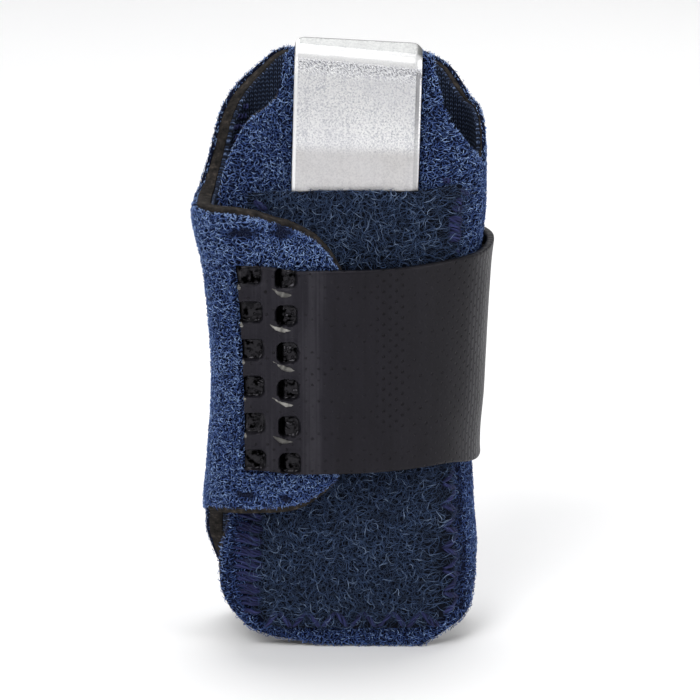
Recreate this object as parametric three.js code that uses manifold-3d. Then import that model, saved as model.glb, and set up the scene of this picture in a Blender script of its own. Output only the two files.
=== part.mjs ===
// Toe straightener: a padded cloth wrap closed round the toe by a hook strap, with a bendable
// aluminium stay held flat against its front by a sewn pocket.
// Millimetres. +Z runs up the toe, the stay faces -Y, and the wrap stands on z = 0.
import * as THREE from 'three';
import Module from 'manifold-3d';
import { mergeVertices } from 'three/addons/utils/BufferGeometryUtils.js';

const wasm = await Module();
wasm.setup();

// Driving dimensions

// The wrap is one die-cut sheet of three bonded layers.
// Offsets are from the sheet's mid-surface, + outwards.
const laminate = {
  lining: { inner: -1.45, outer: -1.05, edgeInset: 0.2 },
  foam: { inner: -0.9, outer: 0.6, edgeInset: 0 },
  velour: { inner: 0.75, outer: 1.45, edgeInset: 0.2 },
};
const bondGap = 0.15;
const restGap = 0.3;

const stay = {
  centre: 14.14,
  width: 14.8,
  thickness: 1.0,
  foot: 7,
  tip: 74,
  cornerRadius: 0.9,
  cornerColumns: [0, 0.15, 0.45, 0.9],
  tipLift: 0.4,
  slant: 0.03,
  slantPivot: 30,
  bendFrom: 71.2,
  bendSkew: 0.09,
  bendRadius: 0.9,
  bendTurn: THREE.MathUtils.degToRad(52),
};
const pocket = {
  thickness: 1.0,
  sewnShare: 0.6,
  sewnWidth: 2.5,
  centre: 14.4,
  width: 23.4,
  edgeColumn: 1,
  hollowMargin: 1,
  rampWidth: 2.1,
  hollowFrom: 3.4,
  hollowFull: 6.6,
  hemHeight: 2.6,
  mouthHeight: 56.3,
  cornerRadius: 4,
};
const strap = {
  thickness: 0.9,
  rootHeight: 35.8,
  tipHeight: 36.7,
  rootHalfWidth: 12.3,
  tipHalfWidth: 12.7,
  flareEnd: 34,
  tipRadius: 5,
  tipColumns: [5, 2.8, 1.4, 0.5, 0],
  velourGap: 0.3,
  rootOverWell: 0.2,
  liftOffX: 0,
  liftOffPull: 6.2,
  landingPull: 9,
  tipX: -3,
};
// Where the strap is welded to the wing: a grid of square wells pressed into it.
const weld = {
  columns: 2,
  rows: 6,
  columnPitch: 4.05,
  rowPitch: 4.44,
  firstColumnX: -11,
  centreHeight: 36.5,
  columnDrop: 0.42,
  columnSlant: 0.019,
  wellSize: 2.4,
  wellCorner: 0.7,
  wellSegments: 3,
  floor: 0.35,
};

// Plan of the wrapped sheet, mid-surface, seen from above with the front at -Y.
const plan = {
  frontEdgeX: -14.1,
  frontY: -5.1,
  rightCornerX: 9.2,
  rightX: 14.4,
  rightSideY: 0.4,
  backHalfFlat: 6.5,
  backY: 10.5,
  leftX: -15.9,
  leftSideY: -3,
  wingCornerRadius: 4.5,
  wingEndX: 0.6,
};
plan.wingY =
  plan.frontY +
  laminate.lining.inner -
  laminate.velour.outer -
  2 * bondGap -
  stay.thickness -
  pocket.thickness -
  restGap;
plan.wingCornerX = plan.leftX + plan.wingCornerRadius;
plan.wingCornerY = plan.wingY + plan.wingCornerRadius;

// Outline of the flat cut: along the girth from the front panel's free edge to the wing's end.
const cutOutline = [
  { along: 0, low: 7.2, high: 55.6 },
  { along: 0.5, low: 5.2, high: 58.6 },
  { along: 1.4, low: 3.5, high: 61.6 },
  { along: 2.6, low: 2.1, high: 64.2 },
  { along: 5.1, low: 1.1, high: 66.3 },
  { along: 6.1, low: 0.9, high: 67.5 },
  { along: 6.4, low: 0.85, high: 69.2 },
  { along: 6.85, low: 0.8, high: 71.6 },
  { along: 7.5, low: 0.65, high: 72.3 },
  { along: 13.5, low: 0, high: 72.4 },
  { along: 23, low: 0, high: 71.8 },
  { along: 23.95, low: 0.65, high: 71.4 },
  { along: 24.4, low: 0.85, high: 68.4 },
  { along: 25.2, low: 1.4, high: 64.9 },
  { along: 26.7, low: 2.2, high: 62 },
  { along: 28.8, low: 3.6, high: 59.6 },
  { along: 30.2, low: 6, high: 58.5 },
  { along: 31.4, low: 10, high: 60.2 },
  { along: 32.6, low: 13.2, high: 62.2 },
  { along: 34.6, low: 11, high: 64.1 },
  { along: 37.2, low: 5, high: 65.1 },
  { along: 41, low: 1, high: 68.8 },
  { along: 44.3, low: 0, high: 70 },
  { along: 52.3, low: 0, high: 70.4 },
  { along: 59.8, low: 0, high: 70.3 },
  { along: 63.3, low: 0.8, high: 68 },
  { along: 66.5, low: 4, high: 65.3 },
  { along: 68.2, low: 6.8, high: 63 },
  { along: 69.3, low: 9, high: 60.4 },
  { along: 70.4, low: 11.1, high: 57.9 },
  { along: 73.8, low: 14.9, high: 55.2 },
  { along: 77.2, low: 16.6, high: 54.7 },
  { along: 85.6, low: 18.1, high: 54.9 },
  { along: 90.6, low: 18.3, high: 53.7 },
  { along: 93, low: 18.8, high: 52.8 },
  { along: 95, low: 20, high: 51.6 },
  { along: 97.4, low: 22.3, high: 48.6 },
];
const wingEnd = { low: 26, high: 44 };

// The front panel stands straight, leans back above the pocket and curls over under the stay's tip.
const frontProfile = { leanFrom: 52, leanRadius: 120, curlFrom: 68.6, curlRadius: 4.6, cornerHold: 2 };
// The strap draws the sides in, and they spread again above and below it. Shifts are + outwards.
const sideShape = [
  { along: 0, left: 0.3, right: 0.1 },
  { along: 11, left: 1.5, right: 0.1 },
  { along: 16, left: 0.3, right: -0.3 },
  { along: 20, left: -0.1, right: -0.5 },
  { along: 24, left: -0.5, right: -0.8 },
  { along: 34, left: -1.1, right: -0.48 },
  { along: 46, left: -0.3, right: 0.1 },
  { along: 54, left: 0.9, right: 0.6 },
  { along: 62, left: 0.5, right: 0.6 },
  { along: 75, left: 0, right: 0 },
];
const sideReach = { from: 9.5, to: 15 };

const columnStep = { wrap: 2.6, pocket: 1.6, strap: 1.9 };
// Heights up the cloth at which the solids have vertices, close together where the tips curl and bend.
const wrapHeights = [0, 14, 24, 34, 46, 56, 68.6, 70.4, 72.4];
const stayHeights = [stay.foot, 52, 58, 64, 70.2, 70.7, 71.2, 71.7, 72.2, 72.7, 73.3, stay.tip];
const pocketHeights = [pocket.hemHeight, 4.2, 5.6, 7, 15, 24, 36, 52, pocket.mouthHeight];
const strapHeights = [0, 4.5, 9, 13.5, 18, 22.5, 27];

// Numbers

const { lerp, smoothstep, clamp } = THREE.MathUtils;

// A smooth curve through one column of a table, which never overshoots its rows.
function smoothColumn(rows, column) {
  const slope = rows.slice(1).map((row, i) => (row[column] - rows[i][column]) / (row.along - rows[i].along));
  const tangent = rows.map((_, i) => {
    const [before, after] = [slope[i - 1], slope[i]];
    if (before === undefined || after === undefined) return before ?? after;
    return before * after <= 0 ? 0 : (2 * before * after) / (before + after);
  });
  return (along) => {
    const next = rows.findIndex((row) => row.along >= along);
    if (next === 0) return rows[0][column];
    if (next < 0) return rows.at(-1)[column];
    const span = rows[next].along - rows[next - 1].along;
    const t = (along - rows[next - 1].along) / span;
    const [start, end] = [rows[next - 1][column], rows[next][column]];
    const [leave, arrive] = [tangent[next - 1] * span, tangent[next] * span];
    const ease = t * t * (3 - 2 * t);
    return lerp(start, end, ease) + t * (1 - t) * (leave * (1 - t) - arrive * t);
  };
}

// Stations from the first to the last of some places, none further apart than a step.
function stations(places, step) {
  const found = [places[0]];
  for (let i = 1; i < places.length; i++) {
    const count = Math.max(1, Math.ceil((places[i] - places[i - 1]) / step));
    for (let k = 1; k <= count; k++) found.push(lerp(places[i - 1], places[i], k / count));
  }
  return found;
}

// Heights as shares of the way from the first to the last.
function shares(heights) {
  const [first, last] = [heights[0], heights.at(-1)];
  return heights.map((height) => (height - first) / (last - first));
}

// How far a rounded corner cuts into an edge, for a place some distance from the corner's end.
function cornerCut(distance, radius) {
  const reach = clamp(radius - distance, 0, radius);
  return radius - Math.sqrt(radius * radius - reach * reach);
}

// Solids

// A closed solid between two offsets of a sheet. place(along, height, offset) gives a point of it.
function sheetGeometry({ alongs, heights, low, high, place }, inner, outer) {
  const [positions, rows] = [[], heights.length - 1];
  for (const offset of [inner, outer]) {
    for (const along of alongs) {
      for (const share of shares(heights)) {
        positions.push(...place(along, lerp(low(along), high(along), share), offset));
      }
    }
  }
  const skin = alongs.length * (rows + 1);
  const last = alongs.length - 1;
  const at = (side, column, row) => side * skin + column * (rows + 1) + row;
  const index = [];
  const quad = (a, b, c, d) => index.push(a, b, c, a, c, d);
  for (let c = 0; c < last; c++) {
    for (let r = 0; r < rows; r++) {
      quad(at(1, c, r), at(1, c + 1, r), at(1, c + 1, r + 1), at(1, c, r + 1));
      quad(at(0, c, r), at(0, c, r + 1), at(0, c + 1, r + 1), at(0, c + 1, r));
    }
    quad(at(1, c, 0), at(0, c, 0), at(0, c + 1, 0), at(1, c + 1, 0));
    quad(at(1, c, rows), at(1, c + 1, rows), at(0, c + 1, rows), at(0, c, rows));
  }
  for (let r = 0; r < rows; r++) {
    quad(at(1, 0, r), at(1, 0, r + 1), at(0, 0, r + 1), at(0, 0, r));
    quad(at(1, last, r), at(0, last, r), at(0, last, r + 1), at(1, last, r + 1));
  }
  const geometry = new THREE.BufferGeometry();
  geometry.setAttribute('position', new THREE.Float32BufferAttribute(positions, 3));
  geometry.setIndex(index);
  return geometry;
}

function toSolid(geometry) {
  const bare = geometry.clone();
  bare.deleteAttribute('normal');
  bare.deleteAttribute('uv');
  const merged = mergeVertices(bare);
  return new wasm.Manifold(
    new wasm.Mesh({
      numProp: 3,
      vertProperties: merged.attributes.position.array,
      triVerts: new Uint32Array(merged.index.array),
    }),
  );
}

function toGeometry(solid) {
  const mesh = solid.getMesh();
  const geometry = new THREE.BufferGeometry();
  geometry.setAttribute('position', new THREE.BufferAttribute(mesh.vertProperties, 3));
  geometry.setIndex(new THREE.BufferAttribute(mesh.triVerts, 1));
  return geometry;
}

function piece(name, geometry, colour, roughness, metalness = 0) {
  geometry.computeVertexNormals();
  const material = new THREE.MeshStandardMaterial({ color: colour, roughness, metalness });
  const mesh = new THREE.Mesh(geometry, material);
  mesh.name = name;
  return mesh;
}

// The wrapped sheet

const wrapPath = new THREE.Path()
  .moveTo(plan.frontEdgeX, plan.frontY)
  .lineTo(plan.rightCornerX, plan.frontY)
  .absellipse(
    plan.rightCornerX,
    plan.rightSideY,
    plan.rightX - plan.rightCornerX,
    plan.rightSideY - plan.frontY,
    -Math.PI / 2,
    0,
    false,
  )
  .absellipse(
    plan.backHalfFlat,
    plan.rightSideY,
    plan.rightX - plan.backHalfFlat,
    plan.backY - plan.rightSideY,
    0,
    Math.PI / 2,
    false,
  )
  .lineTo(-plan.backHalfFlat, plan.backY)
  .absellipse(
    -plan.backHalfFlat,
    plan.leftSideY,
    -plan.backHalfFlat - plan.leftX,
    plan.backY - plan.leftSideY,
    Math.PI / 2,
    Math.PI,
    false,
  )
  .lineTo(plan.leftX, plan.wingCornerY)
  .absarc(plan.wingCornerX, plan.wingCornerY, plan.wingCornerRadius, Math.PI, 1.5 * Math.PI, false)
  .lineTo(plan.wingEndX, plan.wingY);
const wrapLength = wrapPath.getLength();
cutOutline.push({ along: wrapLength, ...wingEnd });

// Place, outward direction and share of the front panel's lean at a distance along the girth.
const panelEnd = plan.rightCornerX - plan.frontEdgeX;
const leanEnd = panelEnd + wrapPath.curves[1].getLength();
function wrapStation(along) {
  const t = along / wrapLength;
  const [at, heading] = [wrapPath.getPoint(t), wrapPath.getTangent(t)];
  const lean = 1 - smoothstep(along, panelEnd + frontProfile.cornerHold, leanEnd);
  return { at, out: new THREE.Vector2(heading.y, -heading.x), lean };
}

// The front panel's side view: setback, height and tilt at a distance up the cloth.
function frontCurve({ leanFrom, leanRadius, curlFrom, curlRadius }, up) {
  const lean = clamp(up - leanFrom, 0, curlFrom - leanFrom) / leanRadius;
  const tilt = lean + Math.max(0, up - curlFrom) / curlRadius;
  const straight = Math.min(up, leanFrom);
  return {
    tilt,
    setback: leanRadius * (1 - Math.cos(lean)) + curlRadius * (Math.cos(lean) - Math.cos(tilt)),
    height: straight + leanRadius * Math.sin(lean) + curlRadius * (Math.sin(tilt) - Math.sin(lean)),
  };
}

const sideShift = { left: smoothColumn(sideShape, 'left'), right: smoothColumn(sideShape, 'right') };
function shapedSides(x, y, z) {
  const share = smoothstep(Math.abs(x), sideReach.from, sideReach.to);
  return [x + share * (x < 0 ? -sideShift.left(z) : sideShift.right(z)), y, z];
}

function wrapPoint(along, up, offset) {
  const { at, out, lean } = wrapStation(along);
  const { tilt, setback, height } = frontCurve(frontProfile, up);
  const facing = -out.y * lean;
  return shapedSides(
    at.x + out.x * offset,
    at.y + setback * lean + out.y * offset * lerp(1, Math.cos(tilt), lean),
    lerp(up, height, lean) + facing * offset * Math.sin(tilt),
  );
}

function wrapLayer({ inner, outer, edgeInset }) {
  const [low, high] = [smoothColumn(cutOutline, 'low'), smoothColumn(cutOutline, 'high')];
  const alongs = stations(cutOutline.map((row) => row.along), columnStep.wrap);
  const inset = (value, first, last) => clamp(value, first + edgeInset, last - edgeInset);
  return sheetGeometry(
    {
      alongs,
      heights: wrapHeights,
      low,
      high,
      place: (along, up, offset) =>
        wrapPoint(inset(along, 0, wrapLength), inset(up, low(along), high(along)), offset),
    },
    inner,
    outer,
  );
}

// The stay and its pocket, on the middle of the front panel

const stayOffset = laminate.velour.outer + bondGap;

// The stay leans with the front panel, and its tip bends back along a line that drops to the right.
function stayPoint(along, up, offset) {
  const across = along + stay.slant * (up - stay.slantPivot);
  const raised = up - stay.slant * (along - stay.centre);
  const bendFrom = stay.bendFrom - stay.bendSkew * (along - stay.centre);
  const lift = stay.tipLift * smoothstep(raised, frontProfile.leanFrom, frontProfile.curlFrom);
  const leaning = { ...frontProfile, curlFrom: Infinity };
  const { tilt, setback, height } = frontCurve(leaning, Math.min(raised, bendFrom));
  const pastBend = Math.max(0, raised - bendFrom);
  const bendMid = stay.bendRadius + stay.thickness / 2;
  const turn = Math.min(pastBend / bendMid, stay.bendTurn);
  const [bent, tail] = [tilt + turn, pastBend - turn * bendMid];
  // The bend's axis lies behind the stay's inner face.
  const axis = stayOffset + lift - stay.bendRadius;
  const reach = stay.bendRadius + offset - stayOffset;
  return shapedSides(
    plan.frontEdgeX + across,
    plan.frontY + setback - axis * Math.cos(tilt) - reach * Math.cos(bent) + tail * Math.sin(bent),
    height + axis * Math.sin(tilt) + reach * Math.sin(bent) + tail * Math.cos(bent),
  );
}

function stayGeometry() {
  const half = stay.width / 2;
  const places = stay.cornerColumns.map((inset) => half - inset);
  const alongs = [...places.map((p) => -p), ...places.reverse()].map((p) => stay.centre + p);
  const cut = (along) => cornerCut(half - Math.abs(along - stay.centre), stay.cornerRadius);
  return sheetGeometry(
    {
      alongs,
      heights: stayHeights,
      low: (along) => stay.foot + cut(along),
      high: (along) => stay.tip - cut(along),
      place: stayPoint,
    },
    stayOffset,
    stayOffset + stay.thickness,
  );
}

function pocketGeometry() {
  const half = pocket.width / 2;
  const inside = (along) => half - Math.abs(along - pocket.centre);
  const hollowHalf = stay.width / 2 + pocket.hollowMargin;
  const [rampEnd, lift] = [hollowHalf + pocket.rampWidth, stay.thickness + bondGap];
  const bulge = (along, up) => {
    const across = 1 - smoothstep(Math.abs(along - stay.centre), hollowHalf, rampEnd);
    return lift * across * smoothstep(up, pocket.hollowFrom, pocket.hollowFull);
  };
  const sewn = (along) => lerp(pocket.sewnShare, 1, smoothstep(inside(along), 0, pocket.sewnWidth));
  const layer = (along, offset) => lerp(stayOffset, offset, sewn(along));
  const ramps = [-rampEnd, -hollowHalf, hollowHalf, rampEnd].map((place) => stay.centre + place);
  const leftEdge = pocket.centre - half;
  const places = [leftEdge, leftEdge + pocket.edgeColumn, ...ramps, pocket.centre + half];
  return sheetGeometry(
    {
      alongs: stations(places, columnStep.pocket),
      heights: pocketHeights,
      low: (along) => pocket.hemHeight + cornerCut(inside(along), pocket.cornerRadius),
      high: () => pocket.mouthHeight,
      place: (along, up, offset) => wrapPoint(along, up, layer(along, offset) + bulge(along, up)),
    },
    stayOffset,
    stayOffset + pocket.thickness,
  );
}

// The hook strap: welded to the wing, pulled across the front and round the right side to the back

const strapMid = strap.velourGap + strap.thickness / 2 + laminate.velour.outer;
const strapY = plan.wingY - strapMid;
const strapRightX = plan.rightX + strapMid;
const strapBackY = plan.backY + strapMid;
const strapRootX = weld.firstColumnX - weld.wellSize / 2 + strap.rootOverWell;

const strapPath = new THREE.Path()
  .moveTo(strapRootX, strapY)
  .lineTo(strap.liftOffX, strapY)
  .bezierCurveTo(
    strap.liftOffX + strap.liftOffPull,
    strapY,
    strapRightX,
    plan.rightSideY - strap.landingPull,
    strapRightX,
    plan.rightSideY,
  )
  .absellipse(
    plan.backHalfFlat,
    plan.rightSideY,
    strapRightX - plan.backHalfFlat,
    strapBackY - plan.rightSideY,
    0,
    Math.PI / 2,
    false,
  )
  .lineTo(strap.tipX, strapBackY);
const strapLength = strapPath.getLength();

function strapPoint(along, up, offset) {
  const t = along / strapLength;
  const [at, heading] = [strapPath.getPoint(t), strapPath.getTangent(t)];
  return shapedSides(at.x + heading.y * offset, at.y - heading.x * offset, up);
}

function wellSolid(column, row) {
  const [half, corner] = [weld.wellSize / 2, weld.wellCorner];
  const outline = new THREE.Shape()
    .moveTo(-half + corner, -half)
    .lineTo(half - corner, -half)
    .absarc(half - corner, -half + corner, corner, -Math.PI / 2, 0, false)
    .absarc(half - corner, half - corner, corner, 0, Math.PI / 2, false)
    .absarc(-half + corner, half - corner, corner, Math.PI / 2, Math.PI, false)
    .absarc(-half + corner, -half + corner, corner, Math.PI, 1.5 * Math.PI, false);
  const geometry = new THREE.ExtrudeGeometry(outline, {
    depth: strap.thickness,
    bevelEnabled: false,
    curveSegments: weld.wellSegments,
  });
  geometry.rotateX(Math.PI / 2);
  const rise = (row - (weld.rows - 1) / 2) * weld.rowPitch;
  geometry.translate(
    weld.firstColumnX + column * weld.columnPitch - weld.columnSlant * rise,
    strapY + strap.thickness / 2 - weld.floor,
    weld.centreHeight - column * weld.columnDrop + rise,
  );
  return toSolid(geometry);
}

function strapGeometry() {
  const runOut = (along) => smoothstep(along, 0, strap.flareEnd);
  const centreHeight = (along) => lerp(strap.rootHeight, strap.tipHeight, runOut(along));
  const halfWidth = (along) => {
    const widened = lerp(strap.rootHalfWidth, strap.tipHalfWidth, runOut(along));
    return widened - cornerCut(strapLength - along, strap.tipRadius);
  };
  const tipPlaces = strap.tipColumns.map((inset) => strapLength - inset);
  const band = sheetGeometry(
    {
      alongs: stations([0, strap.liftOffX - strapRootX, ...tipPlaces], columnStep.strap),
      heights: strapHeights,
      low: (along) => centreHeight(along) - halfWidth(along),
      high: (along) => centreHeight(along) + halfWidth(along),
      place: strapPoint,
    },
    -strap.thickness / 2,
    strap.thickness / 2,
  );
  let solid = toSolid(band);
  for (let column = 0; column < weld.columns; column++) {
    for (let row = 0; row < weld.rows; row++) solid = solid.subtract(wellSolid(column, row));
  }
  return toGeometry(solid);
}

const toeStraightener = new THREE.Group();
toeStraightener.add(
  piece('velour_face', wrapLayer(laminate.velour), 0x2d4a8c, 0.95),
  piece('foam_core', wrapLayer(laminate.foam), 0x2b2723, 0.9),
  piece('mesh_lining', wrapLayer(laminate.lining), 0x161c2e, 0.85),
  piece('pocket_panel', pocketGeometry(), 0x2a3b58, 0.95),
  piece('splint_stay', stayGeometry(), 0xd4d4d6, 0.4, 1),
  piece('hook_strap', strapGeometry(), 0x2b2b2e, 0.45),
);

// The origin is under the middle of the whole.
const middle = new THREE.Box3().setFromObject(toeStraightener).getCenter(new THREE.Vector3());
for (const mesh of toeStraightener.children) mesh.geometry.translate(-middle.x, -middle.y, 0);

export default toeStraightener;
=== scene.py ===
import math

import bmesh
import bpy
import numpy as np
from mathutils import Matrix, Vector, noise


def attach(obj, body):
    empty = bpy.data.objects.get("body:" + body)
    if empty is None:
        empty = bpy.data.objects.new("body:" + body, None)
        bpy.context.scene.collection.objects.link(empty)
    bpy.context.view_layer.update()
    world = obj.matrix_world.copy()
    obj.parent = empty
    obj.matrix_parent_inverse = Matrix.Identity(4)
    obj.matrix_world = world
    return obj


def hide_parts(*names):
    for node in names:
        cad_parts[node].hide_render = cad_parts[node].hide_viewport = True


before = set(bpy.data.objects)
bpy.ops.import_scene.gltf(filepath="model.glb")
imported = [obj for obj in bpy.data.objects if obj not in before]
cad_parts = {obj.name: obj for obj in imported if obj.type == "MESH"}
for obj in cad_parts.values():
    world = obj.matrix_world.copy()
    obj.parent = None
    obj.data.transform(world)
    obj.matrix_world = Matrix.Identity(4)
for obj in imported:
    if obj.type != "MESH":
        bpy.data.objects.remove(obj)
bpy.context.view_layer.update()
print("frame:", len(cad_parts), "nodes")

mm = 0.001  # sizes are in millimetres, meshes in metres


# Numbers

def lerp(start, end, share):
    return start + (end - start) * share


def smoothstep(value, low, high):
    share = np.clip((value - low) / (high - low), 0, 1)
    return share * share * (3 - 2 * share)


# one between a rise and a fall, each given by its two ends, and nought outside them
def zone(value, rise, fall):
    return smoothstep(value, *rise) * (1 - smoothstep(value, *fall))


def unit(vectors):
    return vectors / np.maximum(np.linalg.norm(vectors, axis=-1, keepdims=True), 1e-12)


def arrays(*values):
    return np.broadcast_arrays(*(np.asarray(value, float) for value in values))


def tableRows(columns, rows):
    return [dict(zip(columns, row)) for row in rows]


# a smooth curve through one column of a table, never past its rows
def smoothColumn(rows, column):
    places = np.array([row["along"] for row in rows], float)
    values = np.array([row[column] for row in rows], float)
    slope = np.diff(values) / np.diff(places)
    tangent = np.concatenate([slope[:1], np.zeros(len(rows) - 2), slope[-1:]])
    before, after = slope[:-1], slope[1:]
    rising = before * after > 0
    tangent[1:-1][rising] = (2 * before * after)[rising] / (before + after)[rising]

    def value(along):
        along = np.clip(along, places[0], places[-1])
        k = np.clip(np.searchsorted(places, along), 1, len(places) - 1)
        span = places[k] - places[k - 1]
        t = (along - places[k - 1]) / span
        ease = t * t * (3 - 2 * t)
        pull = tangent[k - 1] * (1 - t) - tangent[k] * t
        return lerp(values[k - 1], values[k], ease) + t * (1 - t) * span * pull

    return value


# smooth noise, about -1 to 1, for arrays of places in millimetres
def wander(along, up, size, seed=0.0):
    along, up = arrays(along, up)
    spots = zip(along.ravel() / size, up.ravel() / size)
    return np.array([noise.noise((a, u, seed)) for a, u in spots]).reshape(along.shape)


# how far a rounded corner cuts into an edge
def cornerCut(distance, radius):
    reach = np.clip(radius - distance, 0, radius)
    return radius - np.sqrt(radius * radius - reach * reach)


# share of a sheet's thickness that a rounded rim leaves
def rimRound(distance, radius, least):
    inside = np.clip(distance / radius, 0, 1)
    return lerp(least, 1, np.sqrt(1 - (1 - inside) ** 2))


# places from the first to the last of a list, none further apart than a step
def stations(places, step):
    found = [places[0]]
    for low, high in zip(places, places[1:]):
        count = max(1, math.ceil((high - low) / step))
        found += [lerp(low, high, k / count) for k in range(1, count + 1)]
    return np.array(found)


# places from start to end, close together at both rims
def rimmedPlaces(start, end, rim, step):
    middle = stations([start + rim[-1], end - rim[-1]], step)
    return np.concatenate([start + rim[:-1], middle, (end - rim[:-1])[::-1]])


# the same from each column's low edge to its high edge, with the step as a share of the height
def rimmedRows(low, high, rim, step):
    middle = lerp(low + rim[-1], high - rim[-1], stations([0, 1], step)[:, None])
    return np.concatenate([low + rim[:-1, None], middle, (high - rim[:-1, None])[::-1]]).T


# distance from a sheet's nearest edge: its columns' low and high edges, or its sides
def edgeDistance(up, low, high, fromSides):
    return np.minimum(np.minimum(up - low[:, None], high[:, None] - up), fromSides)


# Paths in plan

def lineRun(start, end):
    return np.linspace(start, end, 50)


def arcRun(centre, radii, fromDegrees, toDegrees):
    turn = np.radians(np.linspace(fromDegrees, toDegrees, 240))
    return np.stack([centre[0] + radii[0] * np.cos(turn), centre[1] + radii[1] * np.sin(turn)], 1)


def bezierRun(start, leave, arrive, end):
    t = np.linspace(0, 1, 240)[:, None]
    points = [np.array(p, float) for p in (start, leave, arrive, end)]
    weights = [(1 - t) ** 3, 3 * t * (1 - t) ** 2, 3 * t * t * (1 - t), t ** 3]
    return sum(w * p for w, p in zip(weights, points))


def joinRuns(*runs):
    points = np.concatenate(runs)
    step = np.linalg.norm(np.diff(points, axis=0), axis=1)
    points = points[np.concatenate([[True], step > 1e-6])]
    reach = np.concatenate([[0], np.cumsum(np.linalg.norm(np.diff(points, axis=0), axis=1))])
    return {"points": points, "reach": reach, "heading": unit(np.gradient(points, reach, axis=0))}


# place and outward direction; past its ends a path runs straight on
def onPath(path, along):
    inside = np.clip(along, 0, path["reach"][-1])
    at, heading = (np.stack([np.interp(inside, path["reach"], c) for c in path[of].T], -1)
                   for of in ("points", "heading"))
    heading = unit(heading)
    at = at + heading * (along - inside)[..., None]
    return at, np.stack([heading[..., 1], -heading[..., 0]], -1)


# The wrapped sheet, as the solids have it

laminate = {
    "lining": {"inner": -1.45, "outer": -0.88, "inset": 0.2, "rim": (0.4, 0.2),
               "wingTop": 0.0, "wingFoot": 0.0, "backTop": 0.15, "pinch": (1, 1)},
    "foam": {"inner": -0.92, "outer": 0.66, "inset": 0.0, "rim": (0.12, 0.85),
             "wingTop": 0.0, "wingFoot": 0.0, "backTop": 0.3, "pinch": (1, 0)},
    # the ground cloth that the pile stands on is cut back on the wing and stands proud at the back
    "velour": {"inner": 0.62, "outer": 1.1, "inset": 0.2, "rim": (0.35, 0.5),
               "wingTop": 0.4, "wingFoot": 0.65, "backTop": -0.2, "pinch": (0, 0)},
    "pileTop": 1.45,
}
wrap = {
    "frontEdgeX": -14.1, "frontY": -5.1,
    "rightCornerX": 9.2, "rightX": 14.4, "rightSideY": 0.4,
    "backHalfFlat": 6.5, "backY": 10.5,
    "leftX": -15.9, "leftSideY": -3.0,
    "wingY": -10.6, "wingCorner": 4.5, "wingEndX": 0.6,
    "leanFrom": 52.0, "leanRadius": 120.0, "curlFrom": 68.6, "curlRadius": 4.6, "cornerHold": 2.0,
    "middleX": -0.42967, "middleY": -0.05,  # middle of the whole, which is the frame's origin
    "height": 72.4,
}
# places along the wrap where the wing and the back panel begin and end
panels = {"wing": (79, 84), "wingTip": (93, 97.5), "backRise": (33, 38), "backFall": (70, 75)}
cutOutline = tableRows(("along", "low", "high"), [
    (0, 7.2, 55.6), (0.5, 5.2, 58.6), (1.4, 3.5, 61.6), (2.6, 2.1, 64.2), (5.1, 1.1, 66.3),
    (6.1, 0.9, 67.5), (6.4, 0.85, 69.2), (6.85, 0.8, 71.6), (7.5, 0.65, 72.3), (13.5, 0, 72.4),
    (23, 0, 71.8), (23.95, 0.65, 71.4), (24.4, 0.85, 68.4), (25.2, 1.4, 64.9), (26.7, 2.2, 62),
    (28.8, 3.6, 59.6), (30.2, 6, 58.5), (31.4, 10, 60.2), (32.6, 13.2, 62.2), (34.6, 11, 64.1),
    (37.2, 5, 65.1), (41, 1, 68.8), (44.3, 0, 70), (52.3, 0, 70.4),
    (59.8, 0, 70.3), (63.3, 0.8, 68), (66.5, 4, 65.3), (68.2, 6.8, 63), (69.3, 9, 60.4), (70.4, 11.1, 57.9),
    (73.8, 14.9, 55.2), (77.2, 16.6, 54.7), (85.6, 18.1, 54.9), (90.6, 18.3, 53.7), (93, 18.8, 52.8),
    (95, 20, 51.6), (97.4, 22.3, 48.6),
])
# how far the sides stand out at each height, which is the column along
sideShape = tableRows(("along", "left", "right"), [
    (0, 0.3, 0.1), (11, 1.5, 0.1), (16, 0.3, -0.3), (20, -0.1, -0.5), (24, -0.5, -0.8), (34, -1.1, -0.48),
    (46, -0.3, 0.1), (54, 1.1, 0.85), (62, 0.75, 0.85), (75, 0, 0),
])
sideReach = (9.5, 15.0)

rightCorner = arcRun(
    (wrap["rightCornerX"], wrap["rightSideY"]),
    (wrap["rightX"] - wrap["rightCornerX"], wrap["rightSideY"] - wrap["frontY"]), -90, 0)
rightBack = arcRun(
    (wrap["backHalfFlat"], wrap["rightSideY"]),
    (wrap["rightX"] - wrap["backHalfFlat"], wrap["backY"] - wrap["rightSideY"]), 0, 90)
wingCorner = (wrap["leftX"] + wrap["wingCorner"], wrap["wingY"] + wrap["wingCorner"])
wrapPath = joinRuns(
    lineRun((wrap["frontEdgeX"], wrap["frontY"]), (wrap["rightCornerX"], wrap["frontY"])),
    rightCorner,
    rightBack,
    lineRun((wrap["backHalfFlat"], wrap["backY"]), (-wrap["backHalfFlat"], wrap["backY"])),
    arcRun((-wrap["backHalfFlat"], wrap["leftSideY"]),
           (-wrap["backHalfFlat"] - wrap["leftX"], wrap["backY"] - wrap["leftSideY"]), 90, 180),
    lineRun((wrap["leftX"], wrap["leftSideY"]), (wrap["leftX"], wingCorner[1])),
    arcRun(wingCorner, (wrap["wingCorner"], wrap["wingCorner"]), 180, 270),
    lineRun((wingCorner[0], wrap["wingY"]), (wrap["wingEndX"], wrap["wingY"])),
)
wrapLength = wrapPath["reach"][-1]
cutOutline.append({"along": wrapLength, "low": 26, "high": 44})
cutLow, cutHigh = smoothColumn(cutOutline, "low"), smoothColumn(cutOutline, "high")
sideLeft, sideRight = smoothColumn(sideShape, "left"), smoothColumn(sideShape, "right")
panelEnd = wrap["rightCornerX"] - wrap["frontEdgeX"]
leanEnd = panelEnd + joinRuns(rightCorner)["reach"][-1]
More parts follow.
